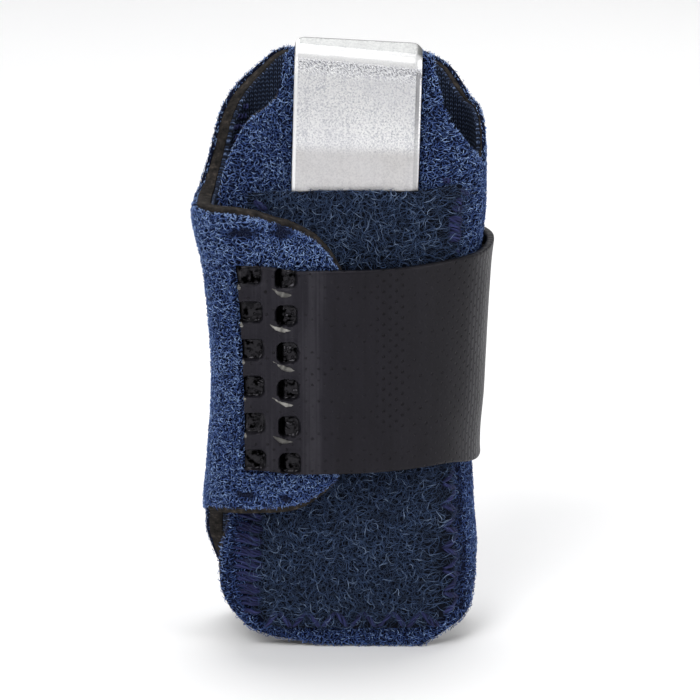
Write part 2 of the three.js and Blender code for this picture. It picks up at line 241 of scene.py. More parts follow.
wingStart = wrapLength - (wrap["wingEndX"] - wingCorner[0])  # where the wing lies flat over the front


def frontCurve(up):
    lean = np.clip(up - wrap["leanFrom"], 0, wrap["curlFrom"] - wrap["leanFrom"]) / wrap["leanRadius"]
    tilt = lean + np.maximum(0, up - wrap["curlFrom"]) / wrap["curlRadius"]
    leanRadius, curlRadius = wrap["leanRadius"], wrap["curlRadius"]
    setback = leanRadius * (1 - np.cos(lean)) + curlRadius * (np.cos(lean) - np.cos(tilt))
    rise = leanRadius * np.sin(lean) + curlRadius * (np.sin(tilt) - np.sin(lean))
    return tilt, setback, np.minimum(up, wrap["leanFrom"]) + rise


def inFrame(x, y, z):
    share = smoothstep(np.abs(x), *sideReach)
    x = x + share * np.where(x < 0, -sideLeft(z), sideRight(z))
    return np.stack([x - wrap["middleX"], y - wrap["middleY"], z], -1) * mm


def wrapPoint(along, up, offset):
    along, up, offset = arrays(along, up, offset)
    at, out = onPath(wrapPath, along)
    lean = 1 - smoothstep(along, panelEnd + wrap["cornerHold"], leanEnd)
    tilt, setback, height = frontCurve(up)
    return inFrame(
        at[..., 0] + out[..., 0] * offset,
        at[..., 1] + setback * lean + out[..., 1] * offset * lerp(1, np.cos(tilt), lean),
        lerp(up, height, lean) - out[..., 1] * lean * offset * np.sin(tilt),
    )


# how far a layer's low and high edges lie inside the cut
def edgeInsets(layer, along):
    onWing = smoothstep(along, *panels["wing"])
    foot = onWing * (1 - 0.6 * smoothstep(along, *panels["wingTip"]))
    top = layer["wingTop"] * onWing + layer["backTop"] * zone(along, panels["backRise"], panels["backFall"])
    return layer["inset"] + layer["wingFoot"] * foot, layer["inset"] + top


# Meshes

def linkObject(name, data):
    obj = bpy.data.objects.new(name, data)
    bpy.context.scene.collection.objects.link(obj)
    return obj


def meshObject(name, mesh, material):
    mesh.materials.append(material)
    mesh.shade_smooth()
    return linkObject(name, mesh)


def finishPiece(name, mesh, material):
    piece = meshObject(name, mesh, material)
    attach(piece, "root")
    return piece


# A sheet with thickness. The arrays hold a column for each place along and a row for each height.
# The UV map is the flat cloth, a tenth of a metre to one.
def sheetSolid(name, place, along, up, inner, outer, material, sharpDegrees=50):
    columns, rows = along.shape
    bm = bmesh.new()
    bmesh.ops.create_grid(bm, x_segments=columns - 1, y_segments=rows - 1, size=0.5)
    spots = [(round((v.co.x + 0.5) * (columns - 1)), round((v.co.y + 0.5) * (rows - 1))) for v in bm.verts]
    columnLayer, rowLayer = bm.verts.layers.int.new("column"), bm.verts.layers.int.new("row")
    for v, (column, row) in zip(bm.verts, spots):
        v[columnLayer], v[rowLayer] = column, row
    skins = [place(along, up, inner), place(along, up, outer)]
    made = bmesh.ops.extrude_face_region(bm, geom=bm.faces[:])["geom"]
    outerVerts = {v for v in made if isinstance(v, bmesh.types.BMVert)}
    for v in bm.verts:
        v.co = skins[v in outerVerts][v[columnLayer], v[rowLayer]]
    bmesh.ops.recalc_face_normals(bm, faces=bm.faces[:])
    uvLayer = bm.loops.layers.uv.new("flat")
    flat = np.stack([along, up], -1) / 100
    for face in bm.faces:
        for loop in face.loops:
            loop[uvLayer].uv = flat[loop.vert[columnLayer], loop.vert[rowLayer]]
    mesh = bpy.data.meshes.new(name)
    bm.to_mesh(mesh)
    bm.free()
    piece = finishPiece(name, mesh, material)
    mesh.set_sharp_from_angle(angle=math.radians(sharpDegrees))
    return piece


# Many thin closed tubes in one mesh, pointed at both ends. paths is strands by points by xyz, in metres,
# and radius is in millimetres. tone is one number for each strand, lift one for each of its points,
# and both are attributes.
def strandMesh(name, paths, radius, tone, lift, material, sides=3, seed=1):
    count, points, _ = paths.shape
    paths[..., 2] = np.maximum(paths[..., 2], 0.06 * mm)  # none goes under the floor
    rings = points - 2
    heading = unit(np.gradient(paths, axis=1))
    rng = np.random.default_rng(seed)
    mean = unit(heading.mean(axis=1))
    steady = unit(np.cross(mean, unit(rng.normal(size=(count, 3)))))[:, None, :]
    side = unit(np.cross(heading, steady + 0 * heading))
    other = np.cross(heading, side)
    angle = np.arange(sides) * 2 * np.pi / sides
    spoke = side[:, 1:-1, None] * np.cos(angle)[:, None] + other[:, 1:-1, None] * np.sin(angle)[:, None]
    ring = paths[:, 1:-1, None] + spoke * radius[:, 1:-1, None, None] * mm
    places = np.concatenate([paths[:, :1], ring.reshape(count, -1, 3), paths[:, -1:]], axis=1)
    stride, last = places.shape[1], places.shape[1] - 1
    faces = []
    for j in range(sides):
        nextJ = (j + 1) % sides
        faces.append((0, 1 + nextJ, 1 + j))
        faces.append((last - sides + j, last - sides + nextJ, last))
        for r in range(rings - 1):
            low, high = 1 + r * sides, 1 + (r + 1) * sides
            faces.append((low + j, low + nextJ, high + nextJ))
            faces.append((low + j, high + nextJ, high + j))
    corners = (np.array(faces)[None] + (np.arange(count) * stride)[:, None, None]).reshape(-1)
    mesh = bpy.data.meshes.new(name)
    mesh.vertices.add(count * stride)
    mesh.vertices.foreach_set("co", places.astype(np.float32).ravel())
    mesh.loops.add(len(corners))
    mesh.loops.foreach_set("vertex_index", corners.astype(np.int32))
    mesh.polygons.add(len(corners) // 3)
    mesh.polygons.foreach_set("loop_start", np.arange(0, len(corners), 3, dtype=np.int32))
    mesh.update(calc_edges=True)
    ringLift = np.repeat(lift[:, 1:-1], sides, axis=1)
    strandLift = np.concatenate([lift[:, :1], ringLift, lift[:, -1:]], axis=1)
    for attribute, values in (("tone", np.repeat(tone, stride)), ("lift", strandLift.ravel())):
        layer = mesh.attributes.new(attribute, "FLOAT", "POINT")
        layer.data.foreach_set("value", values.astype(np.float32))
    print(f"{name}: {count} strands, {len(corners) // 3} triangles")
    return finishPiece(name, mesh, material)


# one place in each square of a grid, moved at random inside it
def scatter(rng, alongs, ups, density):
    step = 1 / math.sqrt(density)
    along, up = np.meshgrid(np.arange(*alongs, step), np.arange(*ups, step), indexing="ij")
    along = along.ravel() + rng.uniform(0, step, along.size)
    return along, up.ravel() + rng.uniform(0, step, along.size)


# runs on the flat cloth that follow their headings, each with its middle at its place
def curlRuns(along, up, heading, length):
    step = (length / (heading.shape[1] - 1))[:, None]
    alongRun, upRun = np.cumsum(np.cos(heading) * step, axis=1), np.cumsum(np.sin(heading) * step, axis=1)
    alongRun += along[:, None] - alongRun.mean(axis=1, keepdims=True)
    upRun += up[:, None] - upRun.mean(axis=1, keepdims=True)
    return alongRun, upRun


# Materials

def linear(red, green, blue):
    level = np.array([red, green, blue]) / 255
    low, high = level / 12.92, ((level + 0.055) / 1.055) ** 2.4
    return (*np.where(level <= 0.04045, low, high).tolist(), 1.0)


# A material and its nodes. A value that is another node's output is linked.
class Finish:
    def __init__(self, name, **sockets):
        self.material = bpy.data.materials.new(name)
        self.material.use_nodes = True
        self.tree = self.material.node_tree
        self.shader = self.tree.nodes["Principled BSDF"]
        for socket, value in sockets.items():
            self.shader.inputs[socket.replace("_", " ")].default_value = value

    def put(self, kind, values=None, **settings):
        made = self.tree.nodes.new("ShaderNode" + kind)
        for setting, value in settings.items():
            setattr(made, setting, value)
        for socket, value in (values or {}).items():
            if isinstance(value, bpy.types.NodeSocket):
                self.tree.links.new(value, made.inputs[socket])
            else:
                made.inputs[socket].default_value = value
        return made

    def sums(self, operation, first, second=0.0, third=0.0):
        return self.put("Math", {0: first, 1: second, 2: third}, operation=operation).outputs[0]

    def times(self, first, second):
        return self.sums("MULTIPLY", first, second)

    def timesPlus(self, first, second, third):
        return self.sums("MULTIPLY_ADD", first, second, third)

    def plus(self, first, second):
        return self.sums("ADD", first, second)

    def minus(self, first, second):
        return self.sums("SUBTRACT", first, second)

    def over(self, first, second):
        return self.sums("DIVIDE", first, second)

    def most(self, first, second):
        return self.sums("MAXIMUM", first, second)

    def spread(self, value, low, high, toLow=0.0, toHigh=1.0):
        values = {"Value": value, "From Min": low, "From Max": high, "To Min": toLow, "To Max": toHigh}
        return self.put("MapRange", values, interpolation_type="SMOOTHSTEP").outputs[0]

    # one from rise to fall, nought outside them, with soft ends
    def between(self, value, rise, fall, soft):
        rising = self.spread(value, rise - soft, rise + soft)
        return self.times(rising, self.spread(value, fall + soft, fall - soft))

    def noise(self, vector, scale, detail=2.0, roughness=0.5):
        values = {"Vector": vector, "Scale": scale, "Detail": detail, "Roughness": roughness}
        return self.put("TexNoise", values).outputs["Fac"]

    def stretched(self, vector, scale):
        return self.put("Mapping", {"Vector": vector, "Scale": (*scale, 1)}).outputs[0]

    # noise with its own scale along and up the flat cloth
    def streaks(self, flat, scale, detail=2.0, roughness=0.5):
        return self.noise(self.stretched(flat, scale), 1.0, detail, roughness)

    # each stop is its place and its red, green and blue
    def ramp(self, value, *stops):
        made = self.put("ValToRGB", {"Fac": value})
        for k, (place, *colour) in enumerate(stops):
            stop = made.color_ramp.elements[k] if k < 2 else made.color_ramp.elements.new(place)
            stop.position, stop.color = place, linear(*colour)
        return made.outputs[0]

    def mixed(self, share, first, colour):
        return self.put("Mix", {0: share, 6: first, 7: linear(*colour)}, data_type="RGBA").outputs[2]

    def objectSpot(self):
        return self.put("TexCoord").outputs["Object"]

    # places on the flat cloth, as the UV map has them and in millimetres along and up
    def flatSpot(self):
        flat = self.put("UVMap", uv_map="flat").outputs[0]
        axes = self.put("SeparateXYZ", {"Vector": flat}).outputs
        return flat, self.times(axes[0], 100.0), self.times(axes[1], 100.0)

    def note(self, attribute):
        return self.put("Attribute", attribute_name=attribute).outputs["Fac"]

    def drive(self, socket, value):
        self.tree.links.new(value, self.shader.inputs[socket])

    def shade(self, colour, roughness=None, bumps=()):
        self.drive("Base Color", colour)
        if roughness:
            self.drive("Roughness", roughness)
        normal = None
        for height, strength, depth in bumps:
            values = {"Height": height, "Strength": strength, "Distance": depth * mm}
            if normal:
                values["Normal"] = normal
            normal = self.put("Bump", values).outputs[0]
        if normal:
            self.drive("Normal", normal)
        return self.material


# pile and thread: painted shade darkens each strand towards the depth of the cloth, so it is light on the
# crown, each strand a little different
def pileMaterial(name, deep, middle, crown, roughness=0.75, sheen=0.15):
    look = Finish(name, Roughness=roughness, Specular_IOR_Level=0.25, Sheen_Weight=sheen,
                  Sheen_Roughness=0.4, Sheen_Tint=linear(*crown))
    light = look.times(look.note("tone"), look.timesPlus(look.note("lift"), 0.75, 0.25))
    return look.shade(look.ramp(light, (0.0, *deep), (0.45, *middle), (1.0, *crown)))


# The wrap's three layers

layerCut = {
    "columnStep": 0.7, "rowShare": 2 / 72, "rimSteps": [0, 0.06, 0.16, 0.35, 0.7],
    "wander": 0.16,  # unevenness of the cut
}
# the foam is pressed thin from inside along the back panel's top edge, most at its right
pinches = [
    {"rise": (29, 31.5), "fall": (44, 52), "press": 0.95},
    {"rise": (29, 31.5), "fall": (36, 39.5), "press": 0.45},
    {"rise": (60, 64), "fall": (70, 75), "press": 0.35},
]
pinchDepth = (4, 14)


def rimPinch(along, below):
    press = sum(pinch["press"] * zone(along, pinch["rise"], pinch["fall"]) for pinch in pinches)
    return press * (1 - smoothstep(below, *pinchDepth))


def wrapLayer(name, layer, material, seed):
    rim = np.array(layerCut["rimSteps"])
    start, end = layer["inset"], wrapLength - layer["inset"]
    alongs = rimmedPlaces(start, end, rim, layerCut["columnStep"])
    lowInset, highInset = edgeInsets(layer, alongs)
    low = cutLow(alongs) + lowInset + layerCut["wander"] * (0.5 + 0.5 * wander(alongs, 0, 1.6, seed))
    high = cutHigh(alongs) - highInset + layerCut["wander"] * wander(alongs, 9, 1.3, seed)
    up = rimmedRows(low, high, rim, layerCut["rowShare"])
    along = np.repeat(alongs[:, None], up.shape[1], axis=1)
    edge = edgeDistance(up, low, high, np.minimum(along - start, end - along))
    half = (layer["outer"] - layer["inner"]) / 2 * rimRound(edge, *layer["rim"])
    centre = (layer["outer"] + layer["inner"]) / 2
    pinch = rimPinch(along, high[:, None] - up)
    innerShift, outerShift = layer["pinch"]
    inner, outer = centre - half + innerShift * pinch, centre + half + outerShift * pinch
    return sheetSolid(name, wrapPoint, along, up, inner, outer, material)


# the velour ground's dark navy is partly its own colour and partly painted shade under the pile
def velourGroundMaterial():
    look = Finish("velour ground", Roughness=0.95, Specular_IOR_Level=0.1)
    fine = look.noise(look.objectSpot(), 5200, 3)
    return look.shade(look.ramp(fine, (0.3, 3, 5, 15), (0.7, 14, 22, 48)), bumps=[(fine, 0.9, 0.15)])


def foamMaterial():
    look = Finish("cut foam", Roughness=0.95, Specular_IOR_Level=0.12)
    spot = look.objectSpot()
    pores = look.put("TexVoronoi", {"Vector": spot, "Scale": 5200}).outputs["Distance"]
    cloud = look.noise(spot, 1500, 4, 0.65)
    colour = look.ramp(cloud, (0.3, 20, 19, 19), (0.55, 44, 41, 39), (0.8, 84, 76, 70))
    return look.shade(colour, bumps=[(pores, 0.4, 0.1), (cloud, 0.4, 0.12)])


# a fine knit: upright ribs of small slanted stitches
def liningMaterial():
    look = Finish("lining knit", Roughness=0.85, Specular_IOR_Level=0.15)
    _, along, up = look.flatSpot()
    rib = look.sums("FRACT", look.over(along, 0.62))
    arm = look.sums("ABSOLUTE", look.minus(rib, 0.5))
    climb = look.plus(look.over(up, 0.5), look.times(arm, 1.6))
    stitch = look.times(look.sums("PINGPONG", climb, 0.5), 2.0)
    ribs = look.times(look.spread(arm, 0.5, 0.28), look.spread(arm, 0.0, 0.12))
    knit = look.times(stitch, ribs)
    specks = look.noise(look.objectSpot(), 5000, 2)
    light = look.times(knit, look.timesPlus(specks, 1.2, 0.1))
    colour = look.ramp(light, (0.0, 10, 13, 21), (0.5, 41, 54, 81), (0.95, 128, 148, 184))
    return look.shade(colour, bumps=[(knit, 0.9, 0.12)])


velourCloth = wrapLayer("velour_cloth", laminate["velour"], velourGroundMaterial(), 3)
foamLayer = wrapLayer("foam_layer", laminate["foam"], foamMaterial(), 11)
liningCloth = wrapLayer("lining_cloth", laminate["lining"], liningMaterial(), 3)
print("wrap layers made")

# The stay: a flat strip with its tip bent back

stay = {
    "centre": 14.14, "width": 14.8, "thickness": 1.0, "foot": 7.0, "tip": 74.0, "corner": 1.3,
    "tipLift": 0.4, "slant": 0.03, "slantPivot": 30.0, "bondGap": 0.15,
    "bendFrom": 71.2, "bendSkew": 0.09, "bendRadius": 0.9, "bendTurn": 52.0,  # the bend drops to the right
    "edgeRoll": 0.14, "edgeRollWidth": 0.75,  # the sheared right edge rolls back
    "rim": [0, 0.06, 0.16, 0.3], "sideSteps": [0.45, 0.6, 0.8, 1.0, 1.3, 1.6], "rounding": (0.3, 0.2),
    "columnStep": 1.0, "rowStep": 2.0, "bendStep": 0.16,
}
stayOffset = laminate["pileTop"] + stay["bondGap"]


def stayPoint(along, up, offset):
    across = along + stay["slant"] * (up - stay["slantPivot"])
    raised = up - stay["slant"] * (along - stay["centre"])
    bendFrom = stay["bendFrom"] - stay["bendSkew"] * (along - stay["centre"])
    lift = stay["tipLift"] * smoothstep(raised, wrap["leanFrom"], wrap["curlFrom"])
    straight = np.minimum(raised, bendFrom)
    tilt = np.maximum(0, straight - wrap["leanFrom"]) / wrap["leanRadius"]
    setback = wrap["leanRadius"] * (1 - np.cos(tilt))
    height = np.minimum(straight, wrap["leanFrom"]) + wrap["leanRadius"] * np.sin(tilt)
    pastBend, bendMid = np.maximum(0, raised - bendFrom), stay["bendRadius"] + stay["thickness"] / 2
    turn = np.minimum(pastBend / bendMid, math.radians(stay["bendTurn"]))
    bent, tail = tilt + turn, pastBend - turn * bendMid
    axis = stayOffset + lift - stay["bendRadius"]  # the bend's axis lies behind the inner face
    reach = stay["bendRadius"] + offset - stayOffset
    return inFrame(
        wrap["frontEdgeX"] + across,
        wrap["frontY"] + setback - axis * np.cos(tilt) - reach * np.cos(bent) + tail * np.sin(bent),
        height + axis * np.sin(tilt) + reach * np.sin(bent) + tail * np.cos(bent),
    )


# how far a strip's faces draw in towards each other at its rounded edge
def roundedOff(edge, width, depth):
    return depth * (1 - rimRound(edge, width, 0))


def stayMaterial():
    look = Finish("satin aluminium", Metallic=1.0, Specular_IOR_Level=0.5)
    flat, along, up = look.flatSpot()
    spot = look.objectSpot()
    grain = look.noise(spot, 4800, 3, 0.7)
    drawn = look.streaks(flat, (150, 9), 2, 0.6)
    mottle = look.timesPlus(grain, 0.85, look.times(drawn, 0.15))
    coarse = look.ramp(mottle, (0.36, 180, 181, 189), (0.57, 255, 255, 255))
    # greyer and less mottled just above the pocket
    plain = look.mixed(look.spread(up, 61.8, 60.2, 0.0, 0.75), coarse, (192, 189, 188))
    cloud = look.noise(spot, 170, 3)
    tinted = look.mixed(look.spread(cloud, 0.35, 0.65, 0.0, 0.2), plain, (224, 224, 229))
    scratched = look.spread(look.streaks(flat, (60, 30), 1), 0.5, 0.65)
    scratch = look.times(look.spread(drawn, 0.62, 0.72), scratched)
    lined = look.mixed(look.times(scratch, 0.35), tinted, (150, 151, 156))
    # height above the start of the bend; the metal is pressed and mottled just under it
    fromMiddle = look.minus(along, stay["centre"])
    aboveBend = look.minus(look.timesPlus(fromMiddle, stay["bendSkew"] - stay["slant"], up), stay["bendFrom"])
    pressed = look.times(look.spread(aboveBend, -0.3, -0.55), look.spread(aboveBend, -2.9, -0.8))
    turned = look.put("Mapping", {"Vector": flat, "Rotation": (0, 0, math.radians(40))}).outputs[0]
    crease = look.times(look.spread(look.streaks(turned, (300, 720), 2, 0.6), 0.45, 0.6), pressed)
    creased = look.mixed(look.times(crease, 0.9), lined, (116, 117, 125))
    # painted highlight round the bend, and painted shade on the tip past it
    onBend = look.between(aboveBend, -0.3, 0.9, 0.25)
    bendHighlight = look.mixed(look.times(onBend, 0.7), creased, (252, 252, 252))
    tipShade = look.mixed(look.spread(aboveBend, 0.75, 1.15, 0.0, 0.9), bendHighlight, (124, 125, 124))
    # painted highlight along the left edge, and painted shade in a strip inside the sheared, rolled right
    # edge below the bend
    fromLeft = look.minus(along, stay["centre"] - stay["width"] / 2)
    paintedHighlight = look.mixed(look.spread(fromLeft, 0.5, 0.35, 0.0, 0.9), tipShade, (255, 255, 255))
    fromRight = look.minus(stay["centre"] + stay["width"] / 2, along)
    rightEdgeShade = look.times(look.between(fromRight, 0.2, 0.68, 0.06), look.spread(aboveBend, -0.4, -1.2))
    rightEdgeShade = look.times(rightEdgeShade, look.spread(up, 60.0, 67.0, 0.45, 1.0))
    colour = look.mixed(look.times(rightEdgeShade, 0.85), paintedHighlight, (132, 132, 135))
    roughness = look.spread(mottle, 0.3, 0.7, 0.46, 0.34)
    return look.shade(colour, roughness, [(grain, 0.3, 0.02), (drawn, 0.2, 0.015), (crease, 0.6, 0.05)])


def makeStay():
    width, length, rim = stay["width"], stay["tip"] - stay["foot"], np.array(stay["rim"])
    fromLeft = rimmedPlaces(0, width, np.concatenate([rim, stay["sideSteps"]]), stay["columnStep"])
    alongs, fromRight = stay["centre"] - width / 2 + fromLeft, width - fromLeft
    fromSide = np.minimum(fromLeft, fromRight)
    cut = cornerCut(fromSide, stay["corner"])
    low, high = stay["foot"] + cut, stay["tip"] - cut
    bendRows = np.arange(stay["bendFrom"] - 1.2, stay["tip"] - 0.45, stay["bendStep"]) - stay["foot"]
    straightRows = stations([0.8, 44, bendRows[0]], stay["rowStep"])[:-1]
    heights = np.unique(np.concatenate([rim, straightRows, bendRows]))
    share = np.concatenate([heights, length - rim[::-1]]) / length
    up = lerp(low[:, None], high[:, None], share[None])
    along = np.repeat(alongs[:, None], up.shape[1], axis=1)
    edge = edgeDistance(up, low, high, fromSide[:, None])
    rounding = roundedOff(edge, *stay["rounding"])
    roll = stay["edgeRoll"] * (1 - smoothstep(fromRight, 0.15, stay["edgeRollWidth"]))[:, None]
    uneven = 0.02 * wander(along, up, 0.8, 4) * smoothstep(up, stay["bendFrom"] - 2, stay["bendFrom"])
    outer = stayOffset + stay["thickness"] - rounding - roll + uneven
    return sheetSolid("stay_strip", stayPoint, along, up, stayOffset + rounding, outer, stayMaterial())


stayStrip = makeStay()
print("stay made")

# The pocket over the stay

pocket = {
    "thickness": 1.0, "ground": 0.55, "sewnShare": 0.6, "sewnWidth": 2.5, "centre": 14.4, "width": 23.4,
    "hollowMargin": 1.0, "rampWidth": 2.1, "hollowRise": (3.4, 6.6), "hem": 2.6, "mouth": 56.3, "corner": 4.0,
    "rim": [0, 0.1, 0.3, 0.6], "columnStep": 0.8, "rowStep": 1.2,
}
pocketLeft = pocket["centre"] - pocket["width"] / 2
pocketRight = pocket["centre"] + pocket["width"] / 2


def pocketInside(along):
    return pocket["width"] / 2 - np.abs(along - pocket["centre"])


def pocketHem(along):
    return pocket["hem"] + cornerCut(pocketInside(along), pocket["corner"])


def pocketMouth(along):
    corners = 0.45 * smoothstep(along, 23, pocketRight) - 0.5 * (1 - smoothstep(along, pocketLeft, 6))
    return pocket["mouth"] + corners + 0.15 * wander(along, 4, 2.5, 5)


# height of the pocket's cloth over the front panel: share 0 is its inner face and 1 the top of its pile
def pocketOffset(along, up, share):
    hollowHalf = stay["width"] / 2 + pocket["hollowMargin"]
    across = 1 - smoothstep(np.abs(along - stay["centre"]), hollowHalf, hollowHalf + pocket["rampWidth"])
    bulge = (stay["thickness"] + stay["bondGap"]) * across * smoothstep(up, *pocket["hollowRise"])
    sewn = lerp(pocket["sewnShare"], 1, smoothstep(pocketInside(along), 0, pocket["sewnWidth"]))
    return stayOffset + bulge + share * sewn * pocket["thickness"]


def pocketMaterial():
    look = Finish("pocket ground", Roughness=0.95, Specular_IOR_Level=0.1)
    fine = look.noise(look.objectSpot(), 3800, 4, 0.6)
    return look.shade(look.ramp(fine, (0.3, 3, 5, 11), (0.7, 12, 18, 32)), bumps=[(fine, 0.9, 0.2)])


def makePocket():
    rim = np.array(pocket["rim"])
    alongs = rimmedPlaces(pocketLeft, pocketRight, rim, pocket["columnStep"])
    low, high = pocketHem(alongs), pocketMouth(alongs)
    up = rimmedRows(low, high, rim, pocket["rowStep"] / (pocket["mouth"] - pocket["hem"]))
    along = np.repeat(alongs[:, None], up.shape[1], axis=1)
    edge = edgeDistance(up, low, high, pocketInside(along))
    top = pocket["ground"] * rimRound(edge, 0.5, 0.25)
    inner, outer = pocketOffset(along, up, 0), pocketOffset(along, up, top)
    return sheetSolid("pocket_cloth", wrapPoint, along, up, inner, outer, pocketMaterial())


pocketCloth = makePocket()
print("pocket made")

# The hook strap, welded to the wing and pulled round to the back

strap = {
    "thickness": 0.9, "rootHeight": 35.8, "tipHeight": 36.7, "rootHalf": 12.3, "tipHalf": 12.7,
    "flareEnd": 34.0, "tipCorner": 5.0, "mid": 2.2, "rootX": -12.0, "tipX": -3.0,
    "liftOffX": 0.0, "liftOffPull": 6.2, "landingPull": 9.0,
    "rim": [0, 0.06, 0.16, 0.3], "rounding": (0.3, 0.2), "weldEnd": 8.6, "fineStep": 0.17, "step": 0.8,
    "tipSteps": [4.2, 3.4, 2.6, 1.9, 1.3, 0.8, 0.45, 0.2, 0.06, 0],
    "rootReach": (0.4, 0.9),  # the root reaches on past its start, less at its foot than at its top
    "tuck": 0.25,  # its lower edge lies closer to the wrap at the side
}
weld = {
    "columns": 2, "rows": 6, "columnPitch": 4.05, "rowPitch": 4.44, "firstX": -11.0, "centreHeight": 36.5,
    "columnDrop": 0.42, "columnSlant": 0.019, "size": 2.4, "corner": 0.7, "floor": 0.35, "wall": 0.12,
    "lip": 0.1, "lipOut": 0.18, "lipWidth": 0.16,
    "leftReach": 0.8,  # the left column's wells run on through the root's edge
    "slitWidth": 0.6, "slitDepth": 0.28,  # each well is deepest along its left side
}
strapY, strapRightX = wrap["wingY"] - strap["mid"], wrap["rightX"] + strap["mid"]
strapBackY = wrap["backY"] + strap["mid"]
strapPath = joinRuns(
    lineRun((strap["rootX"], strapY), (strap["liftOffX"], strapY)),
    bezierRun((strap["liftOffX"], strapY), (strap["liftOffX"] + strap["liftOffPull"], strapY),
              (strapRightX, wrap["rightSideY"] - strap["landingPull"]), (strapRightX, wrap["rightSideY"])),
    arcRun((wrap["backHalfFlat"], wrap["rightSideY"]),
           (strapRightX - wrap["backHalfFlat"], strapBackY - wrap["rightSideY"]), 0, 90),
    lineRun((wrap["backHalfFlat"], strapBackY), (strap["tipX"], strapBackY)),
)
strapLength = strapPath["reach"][-1]


def strapPoint(along, up, offset):
    along, up, offset = arrays(along, up, offset)
    at, out = onPath(strapPath, along)
    offset = offset - strap["tuck"] * smoothstep(31 - up, 0, 6) * zone(along, (24, 30), (40, 46))
    return inFrame(at[..., 0] + out[..., 0] * offset, at[..., 1] + out[..., 1] * offset, up)


def strapCentre(along):
    return lerp(strap["rootHeight"], strap["tipHeight"], smoothstep(along, 0, strap["flareEnd"]))


def strapHalf(along):
    widened = lerp(strap["rootHalf"], strap["tipHalf"], smoothstep(along, 0, strap["flareEnd"]))
    return widened - cornerCut(strapLength - along, strap["tipCorner"])


# pulled tight across the front, the strap's top edge dips between its root and its side
def strapDip(along):
    dip = lerp(0.3, 0.75, smoothstep(along, 7, 20)) * (1 - smoothstep(along, 29, 37))
    return dip - 0.75 * (1 - smoothstep(along, 1.5, 7))


# its lower edge rises at the root and sags where it turns to the side
def strapSag(along):
    return 1.4 * zone(along, (23, 33), (40, 48)) - 0.6 * (1 - smoothstep(along, 0.5, 7))


def rootReach(up):
    return lerp(*strap["rootReach"], smoothstep(up, 24, 37))


# a well's place on the strap
def wellSpot(column, row):
    rise = (row - (weld["rows"] - 1) / 2) * weld["rowPitch"]
    x = weld["firstX"] + column * weld["columnPitch"] - weld["columnSlant"] * rise
    return x - strap["rootX"], weld["centreHeight"] - column * weld["columnDrop"] + rise


wellSpots = [[wellSpot(column, row) for row in range(weld["rows"])] for column in range(weld["columns"])]


# distance outside the nearest rounded square well, less than zero inside it, and from its left side
def wellDistance(along, up):
    nearest, fromLeft = np.full(np.shape(along), 9.0), np.full(np.shape(along), 9.0)
    straight = weld["size"] / 2 - weld["corner"]
    for column, spots in enumerate(wellSpots):
        leftReach = weld["leftReach"] if column == 0 else 0.0
        for wellAlong, wellUp in spots:
            off = along - wellAlong
            dAlong = np.where(off < 0, np.maximum(0, -off - leftReach), off) - straight
            dUp = np.abs(up - wellUp) - straight
            outside = np.hypot(np.maximum(dAlong, 0), np.maximum(dUp, 0))
            distance = outside + np.minimum(np.maximum(dAlong, dUp), 0) - weld["corner"]
            closer = distance < nearest
            nearest = np.where(closer, distance, nearest)
            fromLeft = np.where(closer, off + weld["size"] / 2 + leftReach, fromLeft)
    return nearest, fromLeft


# sink marks over the hook rows, plainest where the strap is bent, and a few pits
def strapMarks(look, flat, along, up):
    pitch, rise = 0.75, 1.3
    columns = look.over(along, pitch)
    across = look.times(look.minus(look.sums("FRACT", columns), 0.5), pitch)
    raised = look.timesPlus(look.sums("FLOOR", columns), 0.5, look.over(up, rise))
    upward = look.times(look.minus(look.sums("FRACT", raised), 0.5), rise)
    square = look.plus(look.sums("POWER", across, 2.0), look.sums("POWER", upward, 2.0))
    marks = look.spread(look.sums("POWER", square, 0.5), 0.19, 0.09)
    bent = look.between(along, 25.0, 50.0, 1.5)
    kept = look.spread(look.streaks(flat, (9, 90), 1), 0.45, 0.65, 0.1, 0.6)
    pressed = look.times(look.between(along, 15.3, 18.9, 0.4), look.spread(up, 27.0, 31.0))
    marks = look.times(marks, look.most(look.most(bent, pressed), kept))
    holes = look.put("TexVoronoi", {"Vector": look.stretched(flat, (34, 34)), "Scale": 1.0})
    chosen = look.put("SeparateColor", {"Color": holes.outputs["Color"]}).outputs[0]
    pits = look.times(look.spread(holes.outputs["Distance"], 0.075, 0.035), look.spread(chosen, 0.5, 0.6))
    ribs = look.times(look.sums("PINGPONG", columns, 0.5), look.between(along, 28.0, 46.0, 2.0))
    return look.most(marks, pits), ribs


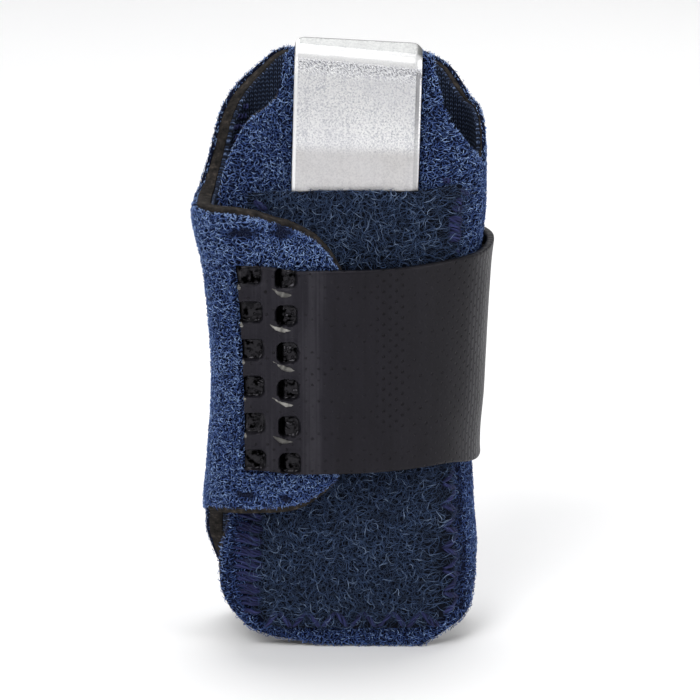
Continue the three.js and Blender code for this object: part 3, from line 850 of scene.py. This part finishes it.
def strapMaterial():
    look = Finish("hook tape", Specular_IOR_Level=0.21, Specular_Tint=(0.93, 0.89, 1.0, 1.0))
    flat, along, up = look.flatSpot()
    melted = look.note("melted")
    marks, ribs = strapMarks(look, flat, along, up)
    bands = look.streaks(flat, (260, 3), 2, 0.6)
    cloud = look.streaks(flat, (45, 12), 3)
    # painted highlight beside the weld, most in a streaky band, and lighter towards the root
    sheenRound = look.times(look.between(along, 6.7, 9.9, 0.7), 0.12)
    sheenBand = look.timesPlus(look.between(along, 7.4, 8.8, 0.5), 0.16, sheenRound)
    sheenBand = look.times(sheenBand, look.timesPlus(bands, 1.6, 0.2))
    paintedHighlight = look.plus(sheenBand, look.spread(along, 12.0, 6.0, 0.0, 0.3))
    light = look.plus(paintedHighlight, look.timesPlus(bands, 0.5, look.times(cloud, 0.5)))
    plain = look.ramp(light, (0.3, 10, 9, 13), (0.8, 20, 19, 25), (1.0, 37, 36, 41))
    # painted shade: the strap darker from its front towards its side
    plain = look.mixed(look.spread(along, 13.0, 24.0, 0.0, 0.6), plain, (6, 6, 7))
    # painted highlight on the moulded ribs near the side, which are also bumped
    ribbed = look.mixed(look.times(ribs, 0.9), plain, (70, 70, 74))
    # painted shade in the sink marks and pits, which are also dented by the bump
    marked = look.mixed(marks, ribbed, (6, 6, 7))
    smeared = look.mixed(melted, marked, (15, 15, 17))
    # painted shade: black in each well's slit and in patches of its floor, as metal, which reflects nothing
    folds = look.spread(look.noise(look.objectSpot(), 1300, 2, 0.6), 0.48, 0.64)
    blackShade = look.most(look.note("slit"), look.times(look.spread(melted, 0.6, 0.95), folds))
    look.drive("Metallic", blackShade)
    colour = look.mixed(blackShade, smeared, (1, 1, 1))
    roughness = look.timesPlus(melted, -0.26, look.spread(cloud, 0.3, 0.7, 0.5, 0.42))
    fine = look.noise(look.objectSpot(), 5200, 2)
    dents = look.times(marks, -1.0)
    return look.shade(colour, roughness,
                      [(bands, 0.25, 0.04), (fine, 0.12, 0.02), (dents, 1.0, 0.22), (ribs, 0.7, 0.12)])


def makeStrap():
    thickness, width = strap["thickness"], 2 * strap["rootHalf"]
    fine = stations([0, strap["weldEnd"]], strap["fineStep"])
    rest = stations([strap["weldEnd"], strapLength - strap["tipCorner"]], strap["step"])[1:]
    alongs = np.concatenate([fine, rest, strapLength - np.array(strap["tipSteps"])])
    heights = rimmedPlaces(0, width, np.array(strap["rim"]), strap["fineStep"])
    half, centre = strapHalf(alongs), strapCentre(alongs)
    low, high = centre - half - strapSag(alongs), centre + half - strapDip(alongs)
    up = lerp(low[:, None], high[:, None], (heights / width)[None])
    edgeAlong = np.repeat(alongs[:, None], up.shape[1], axis=1)
    along = edgeAlong - rootReach(up) * (1 - smoothstep(edgeAlong, 0, 1.2))
    fromEnds = np.minimum(edgeAlong, strapLength - edgeAlong) + 0.05
    rounding = roundedOff(edgeDistance(up, low, high, fromEnds), *strap["rounding"])
    distance, fromLeft = (np.where(along < strap["weldEnd"], found, 9.0) for found in wellDistance(along, up))
    sunk = 1 - smoothstep(distance, -weld["wall"], weld["wall"])
    slit = sunk * (1 - smoothstep(fromLeft, 0.6 * weld["slitWidth"], 1.4 * weld["slitWidth"]))
    near = distance < 0.3
    nearAlong, nearUp = along[near], up[near]
    crumple = np.zeros(along.shape)  # folds on the floors of the wells
    crumple[near] = 0.42 * np.abs(wander(nearAlong, nearUp, 1.0, 2)) + 0.1 * wander(nearAlong, nearUp, 0.4, 7)
    fold = np.clip(crumple, -0.08, 0.4) * (1 - slit)
    depth = thickness - weld["floor"] - fold + weld["slitDepth"] * slit
    lip = weld["lip"] * np.exp(-((distance - weld["lipOut"]) / weld["lipWidth"]) ** 2)
    inner, outer = -thickness / 2 + rounding, thickness / 2 - rounding - sunk * depth + lip
    piece = sheetSolid("strap_band", strapPoint, along, up, inner, outer, strapMaterial(), 60)
    columns, rows = (piece.data.attributes[name] for name in ("column", "row"))
    spots = [(c.value, r.value) for c, r in zip(columns.data, rows.data)]
    for note, values in (("melted", sunk), ("slit", slit)):
        layer = piece.data.attributes.new(note, "FLOAT", "POINT")
        layer.data.foreach_set("value", [values[spot] for spot in spots])
    return piece


strapBand = makeStrap()

# melted plastic pushed out under the right wells, from each well's middle, and torn ends at the root
burr = {
    "run": [(-2.25, -0.2), (-1.75, -1.0), (-0.95, -1.55), (0.0, -1.85), (1.1, -1.85)],
    "points": 16, "radius": 0.26, "height": 0.34, "tearDrop": 1.5, "tearHalf": 0.36, "tearRadius": 0.24,
}
# the burrs' and torn ends' light grey is partly stress-whitened plastic and partly painted highlight
burrMaterial = pileMaterial("melted plastic", (20, 19, 19), (76, 75, 73), (152, 150, 146), 0.5, 0.0)


def makeBurrs():
    rng = np.random.default_rng(41)
    points = burr["points"]
    share = np.linspace(0, 1, points)
    belly, slim = np.sin(np.pi * share)[None], np.clip(share, 0.03, 0.97)
    knots = np.linspace(0, 1, len(burr["run"]))
    run = np.stack([np.interp(share, knots, [p[k] for p in burr["run"]]) for k in (0, 1)], -1)
    tears, spots = (np.array(column[1:]) for column in wellSpots)
    count = len(spots)
    wobble = 0.09 * np.cumsum(rng.normal(0, 1, (count, points, 2)), axis=1) / 2
    paths = spots[:, None] + run[None] * rng.uniform(0.92, 1.08, (count, 1, 1)) + wobble
    height = burr["height"] + 0.06 * belly + rng.uniform(-0.04, 0.04, (count, points))
    lumps = 1 + 0.35 * np.sin(rng.uniform(5, 10, (count, 1)) * share[None] + rng.uniform(0, 6.3, (count, 1)))
    radius = burr["radius"] * np.sin(np.pi * slim ** 1.6) * lumps * rng.uniform(0.85, 1.15, (count, points))
    tearUp = tears[:, 1:] - burr["tearDrop"] + burr["tearHalf"] * np.linspace(1, -1, points)[None]
    tearAlong = 0.1 - rootReach(tearUp) + 0.1 * share[None]
    tearHeight = 0.3 + 0.12 * belly + 0 * tearUp
    tearRadius = burr["tearRadius"] * np.sin(np.pi * slim)[None] * rng.uniform(0.7, 1.1, (count, 1))
    places = np.concatenate([strapPoint(paths[..., 0], paths[..., 1], height),
                             strapPoint(tearAlong, tearUp, tearHeight)])
    lift = rng.uniform(0.3, 1.0, (2 * count, points))
    tone = rng.uniform(0.6, 0.95, 2 * count)
    radii = np.concatenate([radius, tearRadius])
    return strandMesh("strap_burrs", places, radii, tone, lift, burrMaterial, 6)


# small hooks on the strap's inner face, where it spans free of the wrap
hooks = {
    "from": 12.8, "to": 46.0, "pitch": 0.6, "rows": (-11.9, 11.7), "rowPitch": 0.75,
    "height": 0.55, "radius": 0.07,
    # each hook's points: height as a share, and reach to one side
    "stem": [-0.1, 0.35, 0.75, 1.0, 0.9, 0.65], "reach": [0, 0, 0.02, 0.12, 0.26, 0.32],
}
hookMaterial = pileMaterial("hooks", (8, 8, 9), (26, 26, 28), (70, 70, 74), 0.35, 0.0)


def makeHooks():
    rng = np.random.default_rng(42)
    along, rise = np.meshgrid(np.arange(hooks["from"], hooks["to"], hooks["pitch"]),
                              np.arange(*hooks["rows"], hooks["rowPitch"]), indexing="ij")
    along, rise = along.ravel(), rise.ravel()
    up = strapCentre(along) + rise
    lean = np.where(rng.random(len(along)) < 0.5, 1.0, -1.0)[:, None]
    stem, reach = np.array(hooks["stem"])[None] * hooks["height"], np.array(hooks["reach"])[None]
    offset = -strap["thickness"] / 2 - stem + 0 * lean
    paths = strapPoint(along[:, None] + 0.1 * reach, up[:, None] + lean * reach, offset)
    radius = hooks["radius"] * (1 - 0.3 * np.linspace(0, 1, stem.shape[1]))[None] + 0 * lean
    tone = rng.uniform(0.3, 1, len(along))
    return strandMesh("strap_hooks", paths, radius, tone, 0.6 + 0 * paths[..., 0], hookMaterial)


strapExtras = [makeBurrs(), makeHooks()]
print("strap made")

# Sewing thread: each leg of a seam is a few strands, twisted together and drawn in at both ends

thread = {
    "points": 12, "radius": 0.14, "spread": 0.22, "turns": 0.8, "arch": 0.3, "sink": 0.22, "slack": 0.09,
}
threadMaterial = pileMaterial("sewing thread", (7, 9, 23), (26, 31, 70), (55, 63, 114), 0.7, 0.1)
# the pocket's seams, in places along and up the front panel
seams = {
    "right": {"ups": (4.4, 22.2), "pitch": 1.42, "alongs": (24.85, 26.95)},
    "foot": {"alongs": (4.0, 24.6), "pitch": 1.75, "ups": (2.5, 5.1)},
    # worked close: its stitches' ends and drop change from its foot to its top
    "left": {"ups": (4.6, 17.4), "pitch": 0.82,
             "start": (1.7, 0.9), "end": (3.9, 4.15), "drop": (0.35, -0.55)},
    "barTack": {"ups": (50.3, 52.9), "count": 7, "alongs": (25.0, 26.5)},
    "loose": [(25.2, 54.2, 26.5, 53.5), (26.0, 56.2, 27.0, 55.3), (25.6, 49.0, 26.4, 48.8),
              (24.7, 57.5, 25.3, 56.9), (25.4, 54.9, 26.4, 54.6), (3.2, 55.0, 4.7, 54.4),
              (3.3, 54.7, 4.8, 54.1)],
}


def seamOffset(along, up):
    hem, mouth = pocket["hem"], pocket["mouth"]
    onPocket = zone(up, (hem - 0.4, hem + 0.5), (mouth, mouth + 0.8))
    onPocket = onPocket * smoothstep(pocketInside(along), -0.4, 0.5)
    sunk = 0.14 * (1 - smoothstep(up, 5.2, 6.0)) * smoothstep(along, 4.2, 5.2)  # the foot's seam lies deeper
    return lerp(laminate["pileTop"] - 0.15, pocketOffset(along, up, 0.75), onPocket) - sunk


def stitchPlaces(ends, pitch):
    return np.linspace(*ends, round((ends[1] - ends[0]) / pitch) + 1)


# each leg is its start along and up, and its end along and up
def seamLegs():
    legs = []
    sides, ups = seams["right"]["alongs"], stitchPlaces(seams["right"]["ups"], seams["right"]["pitch"])
    legs += [(sides[k % 2], a, sides[(k + 1) % 2], b) for k, (a, b) in enumerate(zip(ups, ups[1:]))]
    rows, alongs = seams["foot"]["ups"], stitchPlaces(seams["foot"]["alongs"], seams["foot"]["pitch"])
    legs += [(a, rows[k % 2], b, rows[(k + 1) % 2]) for k, (a, b) in enumerate(zip(alongs, alongs[1:]))]
    left = seams["left"]
    low, high = left["ups"]
    for k, up in enumerate(stitchPlaces(left["ups"], left["pitch"])):
        start, end, drop = (lerp(*left[of], (up - low) / (high - low)) for of in ("start", "end", "drop"))
        legs.append((start, up, end, up + drop + (0.25 if k % 2 else -0.15)))
    tack = seams["barTack"]
    start, end = tack["alongs"]
    legs += [(start, up, end, up - 0.1) for up in np.linspace(*tack["ups"], tack["count"])]
    return np.array(legs + seams["loose"])


def makeSeams(name, legs, place, strands, seed):
    rng = np.random.default_rng(seed)
    legs = np.repeat(legs, strands, axis=0)
    count = len(legs)
    share = np.linspace(0, 1, thread["points"])[None]
    legs = legs + rng.normal(0, thread["slack"], legs.shape)
    run = legs[:, 2:] - legs[:, :2]
    side = np.stack([-run[:, 1], run[:, 0]], -1) / np.linalg.norm(run, axis=1)[:, None]
    strand = np.tile(np.arange(strands), count // strands)[:, None]
    turn = 2 * np.pi * (strand / strands + thread["turns"] * share)
    belly = np.sin(np.pi * share) ** 0.7
    across = thread["spread"] * belly * np.cos(turn)
    along = legs[:, :1] + run[:, :1] * share + side[:, :1] * across
    up = legs[:, 1:2] + run[:, 1:] * share + side[:, 1:] * across
    twist = 0.7 * thread["spread"] * belly * np.sin(turn)
    rise = thread["arch"] * np.sin(np.pi * share) ** 0.5 - thread["sink"] + twist
    drawnIn = np.sin(np.pi * np.clip(share, 0.04, 0.96)) ** 0.35
    radius = thread["radius"] * drawnIn * rng.uniform(0.85, 1.1, (count, 1))
    # painted shade: each strand darker where its twist goes under, lighter where it comes over the top
    lift = np.clip(0.55 + 0.45 * np.sin(turn), 0.1, 1)
    tone = rng.uniform(0.4, 0.75, count)
    return strandMesh(name, place(along, up, rise), radius, tone, lift, threadMaterial, 5)


def onSeam(along, up, rise):
    return wrapPoint(along, up, seamOffset(along, up) + rise)


def onLining(along, up, rise):
    pinch = rimPinch(along, cutHigh(along) - up)
    return wrapPoint(along, up, laminate["lining"]["inner"] + pinch - 0.05 - rise)


# a few stitches inside the left rim, each with its start along and its depth below the cut edge
def liningLegs():
    start, below = np.array([(66.2 + 0.3 * k, 1.5 + 0.85 * (k % 3)) for k in range(7)]).T
    top = cutHigh(start) - below
    return np.stack([start, top, start + 0.7, top - 0.4], -1)


pocketSeams = makeSeams("pocket_seams", seamLegs(), onSeam, 4, 51)
liningStitches = makeSeams("lining_stitches", liningLegs(), onLining, 2, 52)
print("seams made")

# Pile and curls

nap = {
    "points": 4, "length": (0.36, 0.95), "radius": (0.034, 0.058), "height": (0.16, 0.44), "turn": 2.4,
    "clump": 0.5, "freeEnds": 0.16, "edgeDensity": 26.0, "edgeGlow": 0.25, "topShare": 0.8, "topGlow": 0.1,
    "strapTufts": 0.9,
    # strands for each square millimetre and their brightness, which change slowly along the wrap
    "density": ([30, 37, 62, 67, 72, 79], [19.0, 8.8, 8.8, 14.0, 14.0, 22.0]),
    "glow": ([33, 39, 60, 66, 74, 80], [0.55, 0.52, 0.52, 0.58, 0.58, 0.62]),
    # pressed flat where the weld's tools held the wing: middle along, middle up, half along, half up
    "dents": [(86.9, 52.2, 1.5, 0.65), (91.0, 52.4, 1.3, 0.9),
              (86.8, 20.7, 1.0, 0.5), (91.3, 20.2, 0.8, 0.45)],
    "sides": ((28, 31), (77, 80)), "sideShorn": 0.6, "rimShorn": 0.65,  # shorter at the sides and the rims
    # how far inside the edges of what covers it the pile is left out
    "strapMargin": 0.8, "wingMargin": 3.2, "pocketMargin": 0.7,
}
# the seams press the pile down: left, right, low and high bounds, and the share of it they hide
seamBands = [(0.8, 4.2, 4.4, 17.6, 0.3), (24.4, 27.8, 4.2, 22.4, 0.5), (3.6, 25.0, 2.5, 5.2, 0.15),
             (24.9, 26.7, 50.0, 53.2, 0.4)]


def seamShare(along, up):
    share = np.zeros(along.shape)
    for left, right, low, high, hides in seamBands:
        share = np.maximum(share, hides * ((along > left) & (along < right) & (up > low) & (up < high)))
    return share


# where on the wrapped sheet the strap's root and end lie
strapRootAlong = wingStart - 0.6
strapTipAlong = leanEnd + joinRuns(rightBack)["reach"][-1] + wrap["backHalfFlat"] - strap["tipX"]
strapMiddle = 36.2


def underStrap(along, up, margin):
    strapZ = np.abs(up - strapMiddle)
    onWing = (along > strapRootAlong + margin) & (strapZ < strap["rootHalf"] - margin)
    fromTip = strapTipAlong - along
    onSide = (along > 30) & (fromTip > margin) & (strapZ < strapHalf(strapLength - fromTip) - margin)
    return onWing | onSide


def underWing(along, up, margin):
    x = wrap["frontEdgeX"] + along
    over = wingStart + np.clip(x - wingCorner[0], 0, wrap["wingEndX"] - wingCorner[0])
    covered = (up > cutLow(over) + margin) & (up < cutHigh(over) - margin)
    return (along < panelEnd) & (x < wrap["wingEndX"] - margin) & covered


def underPocket(along, up, margin):
    inside = (pocketInside(along) > margin) & (up > pocket["hem"] + margin) & (up < pocket["mouth"] - margin)
    across = np.abs(along - stay["slant"] * (up - stay["slantPivot"]) - stay["centre"])
    onStay = (across < stay["width"] / 2 + 0.05) & (up > pocket["mouth"] - 2 * margin) & (up < stay["tip"])
    return inside | onStay


# one close beside the strap's edge on the wing, nought half a millimetre away
def besideStrap(along, up):
    beyondRoot = strapRootAlong - rootReach(up) - along
    beyondEdge = np.abs(up - strapCentre(0) + strapDip(0) / 2) - strapHalf(0) + strapDip(0) / 2
    outside = np.maximum(beyondRoot, beyondEdge)
    return (outside > -0.1) * (1 - smoothstep(outside, 0.2, 0.6))


# one in the middle of a dent, nought outside it, with a ragged edge
def inDents(along, up, clump):
    pressed = np.zeros(len(along))
    for middleAlong, middleUp, halfAlong, halfUp in nap["dents"]:
        far = np.hypot((along - middleAlong) / halfAlong, (up - middleUp) / halfUp) + 0.5 * clump
        pressed = np.maximum(pressed, 1 - smoothstep(far, 0.6, 1.3))
    return pressed


napMaterial = pileMaterial("velour pile", (6, 10, 30), (60, 86, 148), (160, 190, 236))


def makeNap(name, alongs, seed):
    rng = np.random.default_rng(seed)
    density = np.interp(alongs, *nap["density"]).max()
    along, up = scatter(rng, alongs, (0, 74), density)
    kept = rng.random(len(along)) < np.interp(along, *nap["density"]) / density
    along, up = along[kept], up[kept]
    # strands along the top and bottom edges stand out from them
    edgeCount = round(nap["edgeDensity"] * (alongs[1] - alongs[0]))
    edge = np.where(rng.random(edgeCount) < nap["topShare"], 1.0, -1.0)
    along = np.concatenate([along, rng.uniform(*alongs, edgeCount)])
    edge = np.concatenate([np.zeros(len(up)), edge])
    lowInset, highInset = edgeInsets(laminate["velour"], along)
    low, high = cutLow(along) + lowInset, cutHigh(along) - highInset
    edgeUp = np.where(edge > 0, high, low)[len(up):] - edge[len(up):] * rng.uniform(-0.08, 0.32, edgeCount)
    up = np.concatenate([up, edgeUp])
    inside = (up > low - 0.05) & (up < high + 0.05) | (edge != 0)
    hidden = underStrap(along, up, nap["strapMargin"]) | underWing(along, up, nap["wingMargin"])
    hidden = hidden | underPocket(along, up, nap["pocketMargin"])
    keep = inside & ~hidden & (rng.random(len(along)) > 0.8 * seamShare(along, up))
    nearEdge = np.minimum(up - low, high - up)[keep]
    along, up, edge = along[keep], up[keep], edge[keep]
    count, share = len(along), np.linspace(0, 1, nap["points"])
    length = rng.uniform(*nap["length"], count) * np.where(edge < 0, 0.5, np.where(edge > 0, 0.75, 1))
    anyWay, outward = rng.uniform(0, 2 * np.pi, count), edge * np.pi / 2 + rng.normal(0, 0.6, count)
    bend = rng.normal(0, nap["turn"], count)[:, None] * (share - 0.5)
    alongRun, upRun = curlRuns(along, up, np.where(edge == 0, anyWay, outward)[:, None] + bend, length)
    loop = np.sin(np.pi * share) ** 0.7
    arch = np.where(rng.random(count)[:, None] < nap["freeEnds"], np.minimum(1, share * 1.3), loop)
    clump = wander(along, up, nap["clump"], seed)
    pressed = inDents(along, up, clump)
    shorn = lerp(1, nap["sideShorn"], zone(along, *nap["sides"]))
    shorn = shorn * lerp(nap["rimShorn"], 1, smoothstep(nearEdge, 0, 1.2))
    height = rng.uniform(*nap["height"], count) * (1 + 0.35 * clump) * (1 - 0.7 * pressed) * shorn
    beside = np.where(along > wingStart - 3, besideStrap(along, up), 0)
    tuft = beside * rng.uniform(0, nap["strapTufts"], count)
    base = laminate["velour"]["outer"] - 0.06 - np.where(edge == 0, 0, rng.uniform(-0.05, 0.58, count))
    offset = base[:, None] + (height + tuft)[:, None] * arch
    radius = rng.uniform(*nap["radius"], count)[:, None] * np.array([0, 1, 0.85, 0])
    patches = 0.12 * wander(along, up, 1.4, seed + 20) + 0.1 * wander(along, up, 5.0, seed + 40)
    patches = 0.26 * clump + patches
    # painted light: brighter towards the top, and on the strands standing out along the top edge
    glow = np.interp(along, *nap["glow"]) + nap["topGlow"] * smoothstep(up, 40, 56)
    glow = glow + nap["edgeGlow"] * (edge > 0)
    # painted shade in the pressed dents and the seam bands
    dark = (1 - 0.93 * pressed) * (1 - 0.9 * seamShare(along, up))
    tone = np.clip((glow + patches + rng.normal(0, 0.22, count)) * dark, 0.03, 1)
    # painted shade: each strand darker towards its root, and short ones darker
    standing = np.where(edge == 0, np.clip(height / nap["height"][1], 0, 1), 1)
    lift = arch * (0.5 + 0.5 * standing)[:, None]
    return strandMesh(name, wrapPoint(alongRun, upRun, offset), radius, tone, lift, napMaterial, seed=seed)


napPieces = [
    makeNap("velour_nap_front", (0, 36), 21),
    makeNap("velour_nap_back", (36, 63), 22),
    makeNap("velour_nap_left", (63, 77), 23),
    makeNap("velour_nap_wing", (77, wrapLength), 24),
]

curls = {
    "density": 9.8, "points": 7, "length": (1.0, 2.8), "radius": (0.021, 0.035), "height": (0.04, 0.55),
    "fringe": 0.5,  # furthest above the mouth
    "wingMargin": 3.0, "strapMiddle": 36.0, "strapHalf": 11.4,  # none where the wing and the strap cover them
}
curlMaterial = pileMaterial("pocket curls", (3, 5, 14), (56, 77, 114), (152, 174, 206))


def makeCurls():
    rng = np.random.default_rng(31)
    along, up = scatter(rng, (pocketLeft, pocketRight), (pocket["hem"], 57), curls["density"])
    hidden = underWing(along, up, curls["wingMargin"])
    hidden = hidden | (np.abs(up - curls["strapMiddle"]) < curls["strapHalf"])
    thinned = rng.random(len(along)) < seamShare(along, up)
    keep = (up > pocketHem(along) + 0.3) & (up < pocketMouth(along) + 0.1) & ~hidden & ~thinned
    along, up = along[keep], up[keep]
    count, share = len(along), np.linspace(0, 1, curls["points"])

    def draws(low, high):
        return rng.uniform(low, high, count)[:, None]

    length = rng.uniform(*curls["length"], count)
    bend = rng.normal(0, 2.6, count)[:, None] * (share - 0.5)
    wave = draws(0.2, 0.9) * np.sin(draws(4, 9) * share + draws(0, 6.3))
    alongRun, upRun = curlRuns(along, up, draws(0, 2 * np.pi) + bend + wave, length)
    over = np.maximum(0, upRun - pocketMouth(alongRun))
    upRun = upRun - over + curls["fringe"] * np.tanh(over)
    rise = draws(*curls["height"]) * (0.55 + 0.45 * np.sin(draws(0, 6.3) + 5 * share))
    rise = rise * np.minimum(1, 4 * share) * np.minimum(1, 4 * (1 - share)) + 0.04
    offset = pocketOffset(alongRun, upRun, pocket["ground"]) + rise
    radius = draws(*curls["radius"]) * np.minimum(1, 6 * np.minimum(share, 1 - share) + 0.3)
    # painted light: lighter towards the top of the pocket
    patches = 0.2 * wander(along, up, 3.0, 31) + 0.06 * smoothstep(up, 40, 50)
    tone = np.clip(0.53 + patches + rng.normal(0, 0.18, count), 0.05, 1)
    # painted shade: each curl darker where it lies low
    lift = np.clip(rise / 0.5, 0, 1)
    return strandMesh("pocket_curls", wrapPoint(alongRun, upRun, offset), radius, tone, lift, curlMaterial)


pocketCurls = makeCurls()
print("pile made")

# Floor, light and camera

stageSet = {"floorHalf": 3.0, "bendFrom": 0.7, "bendRadius": 0.8}
camera = {"elevation": 14.0, "distance": 420.0, "target": (0.708, 0.0, 36.0), "drop": 0.6, "lens": 180.0}
lightAim = (0, 0, 0.04)


def makeStage():
    look = Finish("pale floor", Roughness=0.9, Specular_IOR_Level=0.1)
    cloud = look.noise(look.objectSpot(), 3.0, 2)
    material = look.shade(look.ramp(cloud, (0.3, 246, 246, 247), (0.7, 250, 250, 250)))
    bm = bmesh.new()
    bmesh.ops.create_grid(bm, x_segments=8, y_segments=60, size=stageSet["floorHalf"])
    for v in bm.verts:
        past = v.co.y - stageSet["bendFrom"]
        if past > 0:
            turn = min(past / stageSet["bendRadius"], math.pi / 2)
            rest = past - turn * stageSet["bendRadius"]
            v.co.y = stageSet["bendFrom"] + stageSet["bendRadius"] * math.sin(turn)
            v.co.z = stageSet["bendRadius"] * (1 - math.cos(turn)) + rest
    mesh = bpy.data.meshes.new("floor")
    bm.to_mesh(mesh)
    bm.free()
    meshObject("floor", mesh, material)


def softLight(name, place, size, power):
    light = bpy.data.lights.new(name, "AREA")
    light.shape, light.size, light.energy = "DISK", size, power
    obj = linkObject(name, light)
    obj.location = place
    obj.rotation_euler = (Vector(lightAim) - Vector(place)).to_track_quat("-Z", "Y").to_euler()


def makeCamera():
    tilt = math.radians(camera["elevation"])
    back = Vector((0, -math.cos(tilt), math.sin(tilt)))
    upward = Vector((0, math.sin(tilt), math.cos(tilt)))
    target = (Vector(camera["target"]) - upward * camera["drop"]) * mm
    data = bpy.data.cameras.new("camera")
    data.lens, data.sensor_width, data.clip_start, data.clip_end = camera["lens"], 36.0, 0.01, 20.0
    obj = linkObject("camera", data)
    obj.location = target + back * camera["distance"] * mm
    obj.rotation_euler = (-back).to_track_quat("-Z", "Y").to_euler()
    bpy.context.scene.camera = obj


makeStage()
softLight("key", (-0.35, -0.7, 0.75), 0.6, 6)
softLight("fill", (0.75, -0.45, 0.35), 0.5, 3)
softLight("top", (0.0, 0.25, 0.9), 0.7, 5)
makeCamera()
world = bpy.data.worlds.new("studio")
bpy.context.scene.world = world
world.use_nodes = True
world.node_tree.nodes["Background"].inputs["Color"].default_value = (1, 1, 1, 1)
world.node_tree.nodes["Background"].inputs["Strength"].default_value = 0.35
bpy.context.scene.view_settings.view_transform = "Standard"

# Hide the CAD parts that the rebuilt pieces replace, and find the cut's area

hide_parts("velour_face")
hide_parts("foam_core")
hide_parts("mesh_lining")
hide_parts("splint_stay")
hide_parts("pocket_panel")
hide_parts("hook_strap")

cutStations = np.linspace(0, wrapLength, 400)
cutArea = float(np.trapz(cutHigh(cutStations) - cutLow(cutStations), cutStations)) * mm * mm
